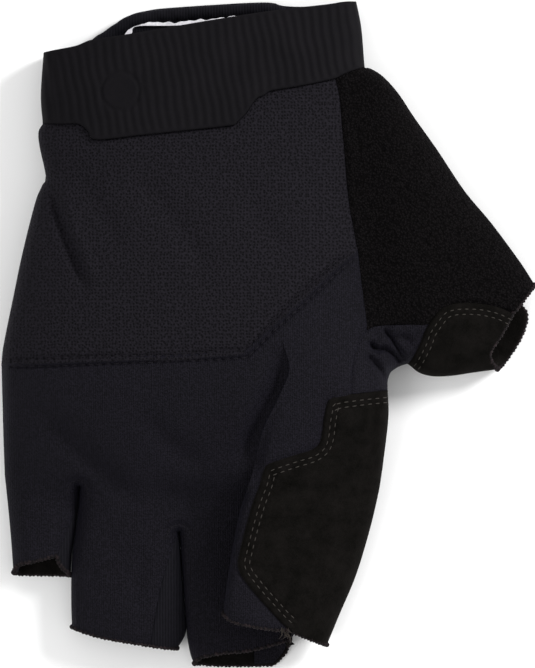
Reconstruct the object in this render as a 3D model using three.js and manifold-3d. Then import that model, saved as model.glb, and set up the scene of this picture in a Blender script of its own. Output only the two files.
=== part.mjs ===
// A fingerless cycling glove for the right hand, lying on its palm.
// Millimetres, +Z up, cuff towards +Y, fingers towards -Y, thumb towards +X.
import * as THREE from 'three';
import { mergeVertices } from 'three/addons/utils/BufferGeometryUtils.js';
import Module from 'manifold-3d';

// Driving sizes of the glove
const HAND_WIDTH = 96.4; // little side to index side, over the knuckles
const THUMB_REACH = 36.8; // how far the thumb tip stands out from the index side
const FINGER_LENGTH = 48; // from the finger roots to the longest hem
const HAND_LENGTH = 86.2; // from the cuff band to the finger roots
const CUFF_LENGTH = 32.3; // width of the cuff, from its edge to the back panel
const HAND_HEIGHT = 24; // from the floor to the top of the back
const WALL = 1.6; // knit, terry and suede alike
const PALM_WALL = 2.2; // suede palm with its thin pad
const SIDE_SEAM_HEIGHT = 6.5; // where the back half meets the palm half
const FINGER_SEAM_HEIGHT = 4.4; // the same seam along the fingers
const SEAM_GAP = 0.3; // between neighbouring pieces

// Trim sizes
const HEM_WIDTH = 1.8; // overlocked edge of each mouth
const HEM_PROUD = 0.3; // what the edge stands out from the finger
const HEM_LIFT = 0.2; // mouths clear the floor by this
const BAND_PROUD = 1; // what the cuff band stands out from the wall
const RIB_PITCH = 2.25; // from one rib of the band to the next
const RIB_DEPTH = 0.7; // groove between two ribs
const BADGE_RADIUS = 4.7; // plain round place on the band
const BADGE_PLACE = [0.31, 2.29]; // its middle, as shares of the plan
const TAPE_WIDTH = 1.5; // binding tape inside the rear cuff
const TAPE_THICKNESS = 0.6;
const GUSSET_LOW = 2.6; // lower edge of a finger gusset
const GUSSET_HIGH = 7.6; // upper edge of a finger gusset
const GUSSET_SPREAD = 3.4; // how far a gusset reaches into each finger
const CREASE_WIDTH = 2.4; // fold pressed into the cloth
const CREASE_DEPTH = 0.8;
const CREASE_LIP = 0.6; // the groove's sides run on above the cloth by this

// Fineness of the faceted tubes
const BODY_SIDES = 32;
const THUMB_SIDES = 24;
const FINGER_SIDES = 16;
const BADGE_SIDES = 20;
const BAND_SHARES = [0, 0.05, 0.1, 0.15, 0.2, 0.25]; // of the body's run, under the cuff band
const FULLNESS = 0.8; // 1 is an ellipse, less is squarer
const RUN_OUT = 4; // how far a hollow is carried past its mouth
const HOLLOW_END = 0.985; // share of the body's run where its hollow stops
const FAR = 60; // beyond every part of the glove
const MERGED = 1e-3; // points closer than this are one

const wasm = await Module();
wasm.setup();

// A place on the plan, as shares of the named sizes.
// across: 0 little side, 1 index side, 2 thumb tip.
// along: 0 longest hem, 1 finger roots, 2 cuff, 3 cuff edge.
function place([across, along]) {
  const palm = Math.min(across, 1) * HAND_WIDTH;
  const thumb = Math.max(across - 1, 0) * THUMB_REACH;
  const finger = Math.min(along, 1) * FINGER_LENGTH;
  const hand = THREE.MathUtils.clamp(along - 1, 0, 1) * HAND_LENGTH;
  const cuff = Math.max(along - 2, 0) * CUFF_LENGTH;
  return new THREE.Vector2(palm + thumb, finger + hand + cuff);
}

// Solid from a closed mesh
function solidOf(geometry) {
  geometry.deleteAttribute('normal');
  geometry.deleteAttribute('uv');
  const merged = mergeVertices(geometry, 1e-4);
  const mesh = new wasm.Mesh({
    numProp: 3,
    vertProperties: new Float32Array(merged.attributes.position.array),
    triVerts: new Uint32Array(merged.index.array),
  });
  return new wasm.Manifold(mesh);
}

// Closed loft through rings of equal length, each ring a list of Vector3
function loft(rings) {
  const positions = [];
  const sides = rings[0].length;
  const put = (...corners) => corners.forEach((corner) => positions.push(corner.x, corner.y, corner.z));
  for (let i = 0; i < rings.length - 1; i += 1) {
    for (let j = 0; j < sides; j += 1) {
      const k = (j + 1) % sides;
      put(rings[i][j], rings[i][k], rings[i + 1][j]);
      put(rings[i][k], rings[i + 1][k], rings[i + 1][j]);
    }
  }
  const centre = (ring) => {
    return ring.reduce((sum, corner) => sum.add(corner), new THREE.Vector3()).divideScalar(sides);
  };
  const first = centre(rings[0]);
  const last = centre(rings[rings.length - 1]);
  for (let j = 0; j < sides; j += 1) {
    const k = (j + 1) % sides;
    put(first, rings[0][k], rings[0][j]);
    put(last, rings[rings.length - 1][j], rings[rings.length - 1][k]);
  }
  const geometry = new THREE.BufferGeometry();
  geometry.setAttribute('position', new THREE.Float32BufferAttribute(positions, 3));
  return solidOf(geometry);
}

// Upright prism over a plan outline
function prism(outline, low, high) {
  const corners = outline.filter((point, i) => point.distanceTo(outline.at(i - 1)) > MERGED);
  const shape = new THREE.Shape(corners);
  const geometry = new THREE.ExtrudeGeometry(shape, { depth: high - low, bevelEnabled: false });
  geometry.translate(0, 0, low);
  return solidOf(geometry);
}

// Smooth seam line through a few places
function seam(places, perSpan = 2) {
  return new THREE.SplineCurve(places.map(place)).getPoints((places.length - 1) * perSpan);
}

// Thin upright blade along a line, which opens the gap between two pieces
function blade(line, low = -FAR, high = FAR, width = SEAM_GAP) {
  const side = (sign) => line.map((point, i) => {
    const ahead = line[Math.min(i + 1, line.length - 1)];
    const behind = line[Math.max(i - 1, 0)];
    const run = ahead.clone().sub(behind).normalize();
    return new THREE.Vector2(point.x - (run.y * sign * width) / 2, point.y + (run.x * sign * width) / 2);
  });
  return prism([...side(-1), ...side(1).reverse()], low, high);
}

// Tubes of the glove, a row for each section from root to mouth.
// left and right: where the two edges lie on the plan, seen with the mouth towards the viewer.
// Heights are shares of HAND_HEIGHT.
// zl, zr: heights of the two edges; rise, drop: crown above and belly below them.
// lean: how far the crown is set back from the belly, also a share of HAND_HEIGHT.
const BODY = [
  { left: [0.11, 3.12], right: [0.92, 3.12], zl: 0.29, zr: 0.29, rise: 0.25, drop: 0.4, lean: 0 },
  { left: [0.108, 2.55], right: [0.94, 2.5], zl: 0.29, zr: 0.29, rise: 0.33, drop: 0.4, lean: 0 },
  { left: [0.105, 2.05], right: [0.945, 2.05], zl: 0.29, zr: 0.29, rise: 0.4, drop: 0.4, lean: 0 },
  { left: [0.1, 1.94], right: [0.95, 1.94], zl: 0.29, zr: 0.29, rise: 0.45, drop: 0.4, lean: 0 },
  { left: [0.114, 1.86], right: [0.955, 1.85], zl: 0.29, zr: 0.29, rise: 0.49, drop: 0.4, lean: 0 },
  { left: [0.056, 1.65], right: [0.975, 1.65], zl: 0.29, zr: 0.29, rise: 0.62, drop: 0.4, lean: 0 },
  { left: [0.012, 1.4], right: [0.99, 1.4], zl: 0.29, zr: 0.29, rise: 0.7, drop: 0.4, lean: 0 },
  { left: [0.002, 1.21], right: [1, 1.21], zl: 0.29, zr: 0.29, rise: 0.65, drop: 0.4, lean: 0 },
  { left: [0.007, 1.07], right: [0.995, 1.07], zl: 0.28, zr: 0.28, rise: 0.48, drop: 0.36, lean: 0 },
  { left: [0.012, 0.97], right: [0.99, 0.97], zl: 0.26, zr: 0.26, rise: 0.34, drop: 0.32, lean: 0 },
  { left: [0.02, 0.87], right: [0.985, 0.87], zl: 0.24, zr: 0.24, rise: 0.17, drop: 0.28, lean: 0 },
];
const LITTLE = [
  { left: [0.012, 1.2], right: [0.235, 1.19], zl: 0.29, zr: 0.29, rise: 0.25, drop: 0.34, lean: 0 },
  { left: [0.008, 1.07], right: [0.215, 1.06], zl: 0.27, zr: 0.27, rise: 0.25, drop: 0.34, lean: 0 },
  { left: [0.011, 0.95], right: [0.202, 0.94], zl: 0.23, zr: 0.23, rise: 0.23, drop: 0.27, lean: 0 },
  { left: [0.019, 0.74], right: [0.19, 0.74], zl: 0.21, zr: 0.21, rise: 0.21, drop: 0.22, lean: 0.02 },
  { left: [0.03, 0.49], right: [0.175, 0.477], zl: 0.21, zr: 0.21, rise: 0.19, drop: 0.2, lean: 0.06 },
];
const RING = [
  { left: [0.172, 1.13], right: [0.494, 1.1], zl: 0.29, zr: 0.29, rise: 0.29, drop: 0.34, lean: 0 },
  { left: [0.193, 0.97], right: [0.473, 0.92], zl: 0.27, zr: 0.27, rise: 0.27, drop: 0.32, lean: 0 },
  { left: [0.203, 0.87], right: [0.462, 0.7], zl: 0.24, zr: 0.24, rise: 0.25, drop: 0.29, lean: 0 },
  { left: [0.191, 0.56], right: [0.464, 0.48], zl: 0.23, zr: 0.23, rise: 0.23, drop: 0.24, lean: 0 },
  { left: [0.182, 0.208], right: [0.455, 0.096], zl: 0.21, zr: 0.21, rise: 0.21, drop: 0.2, lean: 0.02 },
];
const MIDDLE = [
  { left: [0.437, 1.13], right: [0.774, 1.13], zl: 0.29, zr: 0.29, rise: 0.29, drop: 0.34, lean: 0 },
  { left: [0.453, 0.92], right: [0.748, 0.92], zl: 0.27, zr: 0.2, rise: 0.24, drop: 0.3, lean: 0 },
  { left: [0.463, 0.7], right: [0.743, 0.7], zl: 0.23, zr: 0.12, rise: 0.175, drop: 0.25, lean: 0.02 },
  { left: [0.471, 0.35], right: [0.748, 0.35], zl: 0.21, zr: 0.11, rise: 0.165, drop: 0.21, lean: 0.05 },
  { left: [0.494, 0.05], right: [0.73, 0.035], zl: 0.21, zr: 0.11, rise: 0.16, drop: 0.2, lean: 0.065 },
];
const INDEX = [
  { left: [0.748, 1.36], right: [0.997, 1.28], zl: 0.72, zr: 0.34, rise: 0.15, drop: 0.15, lean: 0 },
  { left: [0.715, 1.22], right: [1, 1.22], zl: 0.82, zr: 0.33, rise: 0.19, drop: 0.17, lean: 0 },
  { left: [0.666, 1.07], right: [0.992, 1.07], zl: 0.73, zr: 0.29, rise: 0.19, drop: 0.17, lean: 0 },
  { left: [0.626, 0.88], right: [0.974, 0.88], zl: 0.64, zr: 0.26, rise: 0.24, drop: 0.17, lean: 0 },
  { left: [0.601, 0.6], right: [0.935, 0.58], zl: 0.61, zr: 0.21, rise: 0.28, drop: 0.16, lean: 0 },
  { left: [0.577, 0.286], right: [0.844, 0.115], zl: 0.63, zr: 0.22, rise: 0.27, drop: 0.15, lean: 0.02 },
];
const THUMB = [
  { left: [0.891, 1.32], right: [0.853, 2.2], zl: 0.29, zr: 0.29, rise: 0.3, drop: 0.3, lean: 0 },
  { left: [1.003, 1.275], right: [0.951, 2.46], zl: 0.29, zr: 0.29, rise: 0.38, drop: 0.38, lean: 0 },
  { left: [1.09, 1.322], right: [1.075, 2.283], zl: 0.29, zr: 0.29, rise: 0.42, drop: 0.38, lean: 0 },
  { left: [1.17, 1.313], right: [1.34, 1.942], zl: 0.29, zr: 0.29, rise: 0.41, drop: 0.36, lean: 0 },
  { left: [1.306, 1.287], right: [1.524, 1.824], zl: 0.28, zr: 0.28, rise: 0.37, drop: 0.34, lean: 0 },
  { left: [1.46, 1.287], right: [1.707, 1.73], zl: 0.27, zr: 0.27, rise: 0.33, drop: 0.32, lean: 0 },
  { left: [1.62, 1.298], right: [1.888, 1.626], zl: 0.26, zr: 0.26, rise: 0.29, drop: 0.26, lean: 0.04 },
  { left: [1.748, 1.306], right: [2, 1.551], zl: 0.25, zr: 0.25, rise: 0.26, drop: 0.22, lean: 0.09 },
];

// Smooth curves through a tube's table: its two edges, and its rise, drop and lean
function curvesOf(table) {
  const edge = (side, height) => table.map((row) => {
    const at = place(row[side]);
    return new THREE.Vector3(at.x, at.y, row[height] * HAND_HEIGHT);
  });
  const shape = table.map(({ rise, drop, lean }) => {
    return new THREE.Vector3(rise, drop, lean).multiplyScalar(HAND_HEIGHT);
  });
  return [
    new THREE.CatmullRomCurve3(edge('left', 'zl')),
    new THREE.CatmullRomCurve3(edge('right', 'zr')),
    new THREE.CatmullRomCurve3(shape, false, 'catmullrom'),
  ];
}

// One ring of a tube; grow moves its skin outwards, or inwards when negative
function ringAt([left, right, shape], t, sides, grow, shift = 0) {
  const a = left.getPoint(t);
  const b = right.getPoint(t);
  const { x: rise, y: drop, z: lean } = shape.getPoint(t);
  const across = new THREE.Vector3(b.x - a.x, b.y - a.y, 0);
  const half = across.length() / 2;
  across.normalize();
  const ahead = new THREE.Vector3(across.y, -across.x, 0);
  const middle = a.clone().add(b).multiplyScalar(0.5);
  const squared = (value) => Math.sign(value) * Math.abs(value) ** FULLNESS;
  return Array.from({ length: sides }, (_, j) => {
    const angle = (2 * Math.PI * j) / sides;
    const w = squared(Math.cos(angle));
    const v = squared(Math.sin(angle));
    const point = middle.clone().addScaledVector(across, w * (half + grow));
    point.z = THREE.MathUtils.lerp(a.z, b.z, (w + 1) / 2) + v * ((v > 0 ? rise : drop) + grow);
    return point.addScaledVector(ahead, shift - lean * v);
  });
}

// Share of a tube's run that lies a given length short of its mouth
function shortOf(table, length) {
  const [left, right] = curvesOf(table);
  const middle = (t) => left.getPoint(t).add(right.getPoint(t)).multiplyScalar(0.5);
  const step = 1 / (table.length - 1);
  return 1 - (step * length) / middle(1).distanceTo(middle(1 - step));
}

// Solid tube from one share of its run to another
function tube(table, { sides, sections, grow = 0, from = 0, to = 1, past = 0 }) {
  const curves = curvesOf(table);
  const rings = Array.from({ length: sections + 1 }, (_, i) => {
    return ringAt(curves, THREE.MathUtils.lerp(from, to, i / sections), sides, grow);
  });
  if (past > 0) rings.push(ringAt(curves, to, sides, grow, past));
  return loft(rings);
}

const FINGERS = { little: LITTLE, ring: RING, middle: MIDDLE, index: INDEX };
const MOUTHS = { ...FINGERS, thumb: THUMB };
const fineness = {
  body: { sides: BODY_SIDES, sections: 11 },
  little: { sides: FINGER_SIDES, sections: 4 },
  ring: { sides: FINGER_SIDES, sections: 4 },
  middle: { sides: FINGER_SIDES, sections: 4 },
  index: { sides: FINGER_SIDES, sections: 6 },
  thumb: { sides: THUMB_SIDES, sections: 7 },
};

// Outer skins stop short of their hems, and hollows run out past the mouths
const skin = (name, grow = 0) => {
  return tube(MOUTHS[name], { ...fineness[name], grow, to: shortOf(MOUTHS[name], HEM_WIDTH + SEAM_GAP) });
};
const hollow = (name) => tube(MOUTHS[name], { ...fineness[name], grow: -WALL, past: RUN_OUT });
const bodySkin = (grow = 0) => tube(BODY, { ...fineness.body, grow });

const everywhere = [[-1, -1], [3, -1], [3, 4], [-1, 4]].map(place);
const slab = (low, high) => prism(everywhere, low, high);
const aboveFloor = slab(0, FAR);

// The side seam dips towards the fingers, a row for each bend
const SIDE_SEAM = [
  { along: 4, height: SIDE_SEAM_HEIGHT },
  { along: 1.1, height: SIDE_SEAM_HEIGHT },
  { along: 0.75, height: FINGER_SEAM_HEIGHT },
  { along: -1, height: FINGER_SEAM_HEIGHT },
];

// Back or palm half: everything above or below the side seam
function half(side) {
  return loft(SIDE_SEAM.map(({ along, height }) => {
    const [a, b] = [[-1, along], [3, along]].map((corner) => {
      const at = place(corner);
      return new THREE.Vector3(at.x, at.y, height + (side * SEAM_GAP) / 2);
    });
    const lift = new THREE.Vector3(0, 0, side * FAR);
    const ring = [a, b, b.clone().add(lift), a.clone().add(lift)];
    return side > 0 ? ring : ring.reverse();
  }));
}
const upperHalf = half(1);
const lowerHalf = half(-1);

const bodyHollow = tube(BODY, { ...fineness.body, grow: -WALL, to: HOLLOW_END });
const fingerHollows = Object.keys(FINGERS).map(hollow).reduce((sum, each) => sum.add(each));
const inside = bodyHollow.add(hollow('thumb')).intersect(slab(PALM_WALL, FAR))
  .add(fingerHollows.intersect(slab(WALL, FAR)));

// Geometry for three.js from a solid
function geometryOf(solid) {
  const { vertProperties, triVerts } = solid.getMesh();
  const geometry = new THREE.BufferGeometry();
  geometry.setAttribute('position', new THREE.BufferAttribute(new Float32Array(vertProperties), 3));
  geometry.setIndex(new THREE.BufferAttribute(new Uint32Array(triVerts), 1));
  return geometry;
}

// Folds that show in the cloth: one at the waist of the little side, two in the thumb's web
const CREASES = [
  [[0.13, 1.82], [0.147, 1.754], [0.173, 1.667], [0.2, 1.58], [0.235, 1.507]],
  [[0.978, 1.378], [1.02, 1.352], [1.09, 1.336]],
  [[1.0, 1.415], [1.054, 1.383], [1.11, 1.352]],
];

// Grooves of a V section along the folds, pressed into the outer face of the cloth
function creases(skinSolid) {
  const face = new THREE.Mesh(geometryOf(skinSolid), new THREE.MeshBasicMaterial());
  const down = new THREE.Vector3(0, 0, -1);
  return CREASES.map((places) => {
    const line = seam(places);
    return loft(line.map((point, i) => {
      const over = new THREE.Raycaster(new THREE.Vector3(point.x, point.y, FAR), down);
      const height = over.intersectObject(face)[0].point.z;
      const run = line[Math.min(i + 1, line.length - 1)].clone().sub(line[Math.max(i - 1, 0)]).normalize();
      const end = i === 0 || i === line.length - 1;
      const depth = end ? 0 : CREASE_DEPTH;
      const reach = (CREASE_WIDTH / 2) * (1 + CREASE_LIP / CREASE_DEPTH);
      const across = new THREE.Vector3(-run.y, run.x, 0);
      const bottom = new THREE.Vector3(point.x, point.y, height - depth);
      const lip = bottom.clone().setZ(height + CREASE_LIP);
      return [lip.clone().addScaledVector(across, -reach), bottom, lip.addScaledVector(across, reach)];
    }));
  }).reduce((sum, each) => sum.add(each));
}

// The index finger lies on the middle finger, so past their crotch it is a part by itself
const CROTCH = [[0.45, 0.865], [1.3, 0.865]];
const pastCrotch = CROTCH.map(([across]) => [across, -1]).reverse();
const indexOnly = prism([...CROTCH, ...pastCrotch].map(place), -FAR, FAR);
const crotchBlade = blade(CROTCH.map(place), -FAR, FAR, 2 * SEAM_GAP);

const indexSkin = skin('index');
const handSkin = ['little', 'ring', 'middle', 'thumb']
  .reduce((sum, name) => sum.add(skin(name)), bodySkin())
  .subtract(skin('index', SEAM_GAP).intersect(indexOnly))
  .add(indexSkin.subtract(indexOnly))
  .intersect(aboveFloor);
const handShell = handSkin.subtract(creases(handSkin)).subtract(inside);
const indexShell = indexSkin.intersect(indexOnly).intersect(aboveFloor).subtract(inside);

// Seam lines of the back, each a few places on the plan
const CUFF_START = 2.04; // along: where the rear cuff is sewn to the palm
const bandLowLeft = seam([
  [-0.05, 2.03], [0.198, 2.039], [0.225, 2], [0.255, 1.968], [0.4, 1.983], [0.598, 2.023], [0.628, 2.09],
  [0.66, 2.225], [0.7, 2.29], [0.78, 2.333], [0.865, 2.39],
]);
const bandLowRight = seam([[0.865, 2.39], [0.9, 2.44], [0.942, 2.481], [1.02, 2.52]], 1);
const bandTop = seam([
  [-0.05, 2.55], [0.109, 2.597], [0.235, 2.686], [0.393, 2.76], [0.624, 2.876], [0.79, 2.943], [0.89, 2.991],
  [1.02, 2.995],
]);
const rearTop = seam([
  [-0.05, 2.59], [0.13, 2.598], [0.214, 2.659], [0.29, 2.83], [0.385, 2.945], [0.53, 2.975], [0.7, 3],
  [0.741, 2.965], [0.826, 2.94], [0.92, 2.961], [1.02, 2.97],
]);
const panelSeamLine = seam([
  [-0.05, 1.32], [0.256, 1.33], [0.58, 1.346], [0.639, 1.365], [0.785, 1.513], [0.922, 1.649],
]);
const terrySeamHigh = seam([[0.865, 2.39], [0.882, 2.03], [0.898, 1.803], [0.922, 1.649]]);
const terrySeamLow = seam([[0.922, 1.649], [0.938, 1.51], [0.947, 1.42]], 1);
const webSeamLine = seam([[0.947, 1.42], [0.915, 1.345], [0.904, 1.233]]);
const webTopLine = seam([[0.947, 1.42], [0.995, 1.433], [1.143, 1.435], [1.279, 1.438]], 1);
const thumbPatchLow = seam([[1.14, 1.2], [1.163, 1.322], [1.2, 1.37], [1.279, 1.438]]);
const thumbPatchHigh = seam([
  [1.279, 1.438], [1.361, 1.481], [1.483, 1.497], [1.68, 1.492], [1.844, 1.467], [2.2, 1.39],
]);
const indexPatchTop = seam([[1.12, 1.25], [1.003, 1.246], [0.904, 1.233]], 1);
const indexPatchSide = seam([
  [0.904, 1.233], [0.857, 1.225], [0.838, 1.19], [0.829, 1.116], [0.8, 1.074], [0.689, 1.032], [0.671, 0.964],
  [0.633, 0.729], [0.613, 0.547], [0.658, 0.391], [0.746, 0.201], [0.8, 0.05],
]);

// Cloth regions, each closed by the seams round it and by places beyond the glove
const reversed = (line) => [...line].reverse();
const region = (...lines) => prism(lines.flat(), -FAR, FAR);
const off = (...places) => places.map(place);
const regions = {
  band: region(bandLowLeft, bandLowRight, reversed(bandTop)),
  rear: region(off([-0.05, CUFF_START], [1.02, CUFF_START]), reversed(rearTop)),
  palm: region(off([-0.05, CUFF_START], [2.4, CUFF_START], [2.4, -0.3], [-0.05, -0.3])),
  back: region(bandLowLeft, terrySeamHigh, reversed(panelSeamLine)),
  thumb: region(
    terrySeamHigh, terrySeamLow, webTopLine, thumbPatchHigh, off([2.4, 1.6], [2.4, 2.6], [1.02, 2.53]),
    reversed(bandLowRight),
  ),
  web: region(webSeamLine, reversed(indexPatchTop), thumbPatchLow, reversed(webTopLine)),
  thumbPatch: region(thumbPatchLow, thumbPatchHigh, off([2.4, 1], [1.3, 1])),
  indexPatch: region(indexPatchTop, indexPatchSide, off([0.8, -0.3], [1.15, -0.3])),
  knuckles: region(
    panelSeamLine, terrySeamLow, webSeamLine, indexPatchSide, off([0.8, -0.3], [-0.05, -0.3]),
  ),
};
const seamBlades = [
  bandLowLeft, bandLowRight, panelSeamLine, terrySeamHigh, terrySeamLow, webSeamLine, webTopLine,
  thumbPatchLow, thumbPatchHigh, indexPatchTop, indexPatchSide,
].map((line) => blade(line)).reduce((sum, each) => sum.add(each));

// Finger gussets: strips round the two crotches that show, between the back and the palm
const littleGussetLine = seam([[0.205, 0.99], [0.2, 0.9], [0.188, 0.7], [0.178, 0.5]], 1);
const ringGussetLine = seam([[0.463, 0.8], [0.463, 0.7], [0.467, 0.45], [0.47, 0.2]], 1);
const gussetZone = (line, gap) => {
  return blade(line, GUSSET_LOW - gap, GUSSET_HIGH + gap, 2 * (GUSSET_SPREAD + gap));
};
const gussetClear = gussetZone(littleGussetLine, SEAM_GAP).add(gussetZone(ringGussetLine, SEAM_GAP));

// The index finger's own side seam leans with it, from its high left edge to its low right edge
const LEANING_SHARES = [0.4, 0.6, 0.8, 1]; // of the finger's run
const LEANING_REACH = 0.3; // how far the cut runs past each edge, a share of the finger's width
function leaningHalf(table, side) {
  const [left, right] = curvesOf(table);
  const rings = LEANING_SHARES.map((t) => {
    const a = left.getPoint(t);
    const b = right.getPoint(t);
    const out = b.clone().sub(a).multiplyScalar(LEANING_REACH);
    a.sub(out).z += (side * SEAM_GAP) / 2;
    b.add(out).z += (side * SEAM_GAP) / 2;
    const lift = new THREE.Vector3(0, 0, side * FAR);
    const ring = [a, b, b.clone().add(lift), a.clone().add(lift)];
    return side > 0 ? ring : ring.reverse();
  });
  const end = rings[rings.length - 1];
  const run = end[0].clone().sub(rings[rings.length - 2][0]).normalize().multiplyScalar(2 * RUN_OUT);
  rings.push(end.map((corner) => corner.clone().add(run)));
  return loft(rings);
}

// The cuff band's ribbed cover: the body's skin moved out, with grooves along its run
function ribbedCover() {
  const [left, right, shape] = curvesOf(BODY);
  const ribs = Math.round(left.getPoint(0).distanceTo(right.getPoint(0)) / RIB_PITCH);
  const rings = BAND_SHARES.map((t) => {
    const a = left.getPoint(t);
    const b = right.getPoint(t);
    const rise = shape.getPoint(t).x + BAND_PROUD;
    const half = a.distanceTo(b) / 2 + BAND_PROUD;
    const middle = a.add(b).multiplyScalar(0.5);
    const top = Array.from({ length: 2 * ribs + 1 }, (_, j) => {
      const w = j / ribs - 1;
      const v = (1 - Math.abs(w) ** (2 / FULLNESS)) ** (FULLNESS / 2);
      const groove = j % 2 === 0 ? RIB_DEPTH : 0;
      return new THREE.Vector3(middle.x + w * half, middle.y, middle.z + v * rise - groove);
    });
    const corner = (side) => new THREE.Vector3(middle.x + side * half, middle.y, 0);
    return [...top, corner(1), corner(-1)];
  });
  return loft(rings.map((ring) => ring.reverse()));
}

// The plain round place on the band stands level with its ribs
function badge() {
  const at = place(BADGE_PLACE);
  const rod = new THREE.CylinderGeometry(BADGE_RADIUS, BADGE_RADIUS, FAR, BADGE_SIDES);
  rod.rotateX(Math.PI / 2);
  rod.translate(at.x, at.y, FAR / 2);
  return solidOf(rod).intersect(bodySkin(BAND_PROUD));
}

// Overlocked edge round one mouth
function hem(name) {
  const table = MOUTHS[name];
  const ring = tube(table, {
    ...fineness[name],
    sections: 1,
    grow: HEM_PROUD,
    from: shortOf(table, HEM_WIDTH),
  });
  return ring.subtract(hollow(name)).intersect(slab(HEM_LIFT, FAR));
}

// Binding tape, laid on the inner face of the rear cuff
function tape() {
  const line = seam([[0.32, 2.73], [0.345, 2.83], [0.46, 2.845], [0.62, 2.875], [0.722, 2.92]]);
  return blade(line, PALM_WALL + SEAM_GAP, PALM_WALL + SEAM_GAP + TAPE_THICKNESS, TAPE_WIDTH);
}

const upper = handShell.intersect(upperHalf).subtract(seamBlades).subtract(gussetClear);
const lower = handShell.intersect(lowerHalf).subtract(gussetClear);
const backUnderIndex = handShell.intersect(upperHalf).intersect(indexOnly).subtract(gussetClear);
const cuffLine = blade([[-0.05, CUFF_START], [1.02, CUFF_START]].map(place));

const solids = {
  cuff_band: ribbedCover().add(badge()).subtract(inside).intersect(upperHalf).intersect(regions.band)
    .subtract(seamBlades),
  rear_cuff: lower.intersect(regions.rear).subtract(cuffLine),
  cuff_tape: tape(),
  back_panel: upper.intersect(regions.back),
  knuckle_panel: upper.intersect(regions.knuckles).subtract(indexOnly).add(backUnderIndex)
    .subtract(crotchBlade),
  index_back: indexShell.intersect(leaningHalf(INDEX, 1)).subtract(regions.indexPatch).subtract(seamBlades)
    .subtract(crotchBlade),
  index_patch: upper.subtract(indexOnly).add(indexShell.subtract(seamBlades)).intersect(regions.indexPatch)
    .add(indexShell.intersect(leaningHalf(INDEX, -1))),
  thumb_panel: upper.intersect(regions.thumb),
  thumb_web: upper.intersect(regions.web),
  thumb_patch: upper.intersect(regions.thumbPatch),
  palm_panel: lower.intersect(regions.palm).subtract(cuffLine).subtract(crotchBlade),
  gusset_little_ring: handShell.intersect(gussetZone(littleGussetLine, 0)),
  gusset_ring_middle: handShell.intersect(gussetZone(ringGussetLine, 0)),
  hem_little: hem('little'),
  hem_ring: hem('ring'),
  hem_middle: hem('middle'),
  hem_index: hem('index'),
  hem_thumb: hem('thumb'),
};

// Finish of each cloth
const CLOTHS = {
  elastic: { color: 0x2b2a2c, roughness: 0.55, metalness: 0 },
  knit: { color: 0x1d1c20, roughness: 0.9, metalness: 0 },
  tape: { color: 0xb4afb9, roughness: 0.8, metalness: 0 },
  mesh: { color: 0x2a2730, roughness: 0.85, metalness: 0 },
  stretch: { color: 0x1e1d25, roughness: 0.6, metalness: 0 },
  suede: { color: 0x1a1a1a, roughness: 0.95, metalness: 0 },
  terry: { color: 0x161416, roughness: 1, metalness: 0 },
  thread: { color: 0x3a383c, roughness: 0.8, metalness: 0 },
};
const clothOf = {
  cuff_band: 'elastic',
  rear_cuff: 'knit',
  cuff_tape: 'tape',
  back_panel: 'mesh',
  knuckle_panel: 'stretch',
  index_back: 'stretch',
  index_patch: 'suede',
  thumb_panel: 'terry',
  thumb_web: 'stretch',
  thumb_patch: 'suede',
  palm_panel: 'suede',
  gusset_little_ring: 'knit',
  gusset_ring_middle: 'knit',
};

const glove = new THREE.Group();
for (const [name, solid] of Object.entries(solids)) {
  const cloth = new THREE.MeshStandardMaterial(CLOTHS[clothOf[name] ?? 'thread']);
  const mesh = new THREE.Mesh(geometryOf(solid), cloth);
  mesh.name = name;
  glove.add(mesh);
}

// The origin is on the floor, under the middle of the glove
const bounds = new THREE.Box3().setFromObject(glove);
const middle = bounds.getCenter(new THREE.Vector3());
glove.position.set(-middle.x, -middle.y, 0);

export default glove;
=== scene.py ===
"""Looks of a fingerless cycling glove for the right hand, lying on its palm.

Every sheet of cloth is a grid between its own seam lines, and its height comes from the tubes that
the glove is sewn as. Lengths are in millimetres until a mesh is made. The cuff is towards +Y, the
fingers are towards -Y and the thumb is towards +X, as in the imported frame.
"""

import bmesh
import bpy
import numpy as np
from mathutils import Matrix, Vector


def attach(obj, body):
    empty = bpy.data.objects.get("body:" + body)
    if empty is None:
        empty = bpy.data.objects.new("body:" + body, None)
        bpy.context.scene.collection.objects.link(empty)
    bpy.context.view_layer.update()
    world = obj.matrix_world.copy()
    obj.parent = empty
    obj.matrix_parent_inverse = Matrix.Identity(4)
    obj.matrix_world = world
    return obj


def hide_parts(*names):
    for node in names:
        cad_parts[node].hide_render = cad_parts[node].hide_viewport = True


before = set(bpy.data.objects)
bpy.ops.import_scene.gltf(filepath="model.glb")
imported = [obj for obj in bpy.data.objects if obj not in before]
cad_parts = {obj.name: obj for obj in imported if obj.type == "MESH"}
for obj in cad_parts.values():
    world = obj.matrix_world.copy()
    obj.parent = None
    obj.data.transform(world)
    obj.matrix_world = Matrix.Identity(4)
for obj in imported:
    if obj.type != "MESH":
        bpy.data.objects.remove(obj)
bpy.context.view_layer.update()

# The form of the glove: knits, terry and suede sewn into a flat mitt with four short fingers and
# a thumb. It lies empty, so it is low, and its sides roll over in a small round. The plan is given
# in shares of a few lengths, and the heights by a table for each tube. Sizes are in millimetres.
MM = 0.001
HAND_WIDTH, THUMB_REACH = 96.4, 36.8
FINGER_LENGTH, HAND_LENGTH, CUFF_LENGTH = 48.0, 86.2, 32.3
HAND_HEIGHT = 24.0
PLAN_MIDDLE = np.array([67.09, 83.71])
FLOOR_CLEARANCE = 0.35
SIDE_SEAM, FINGER_SEAM = 6.5, 4.4
SIDE_ROLL, PALM_ROLL, FOLD_ROLL = 4.5, 5.0, 3.0
PLEAT_LIFT = 3.0
ROLL_POWER = 2.2


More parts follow.
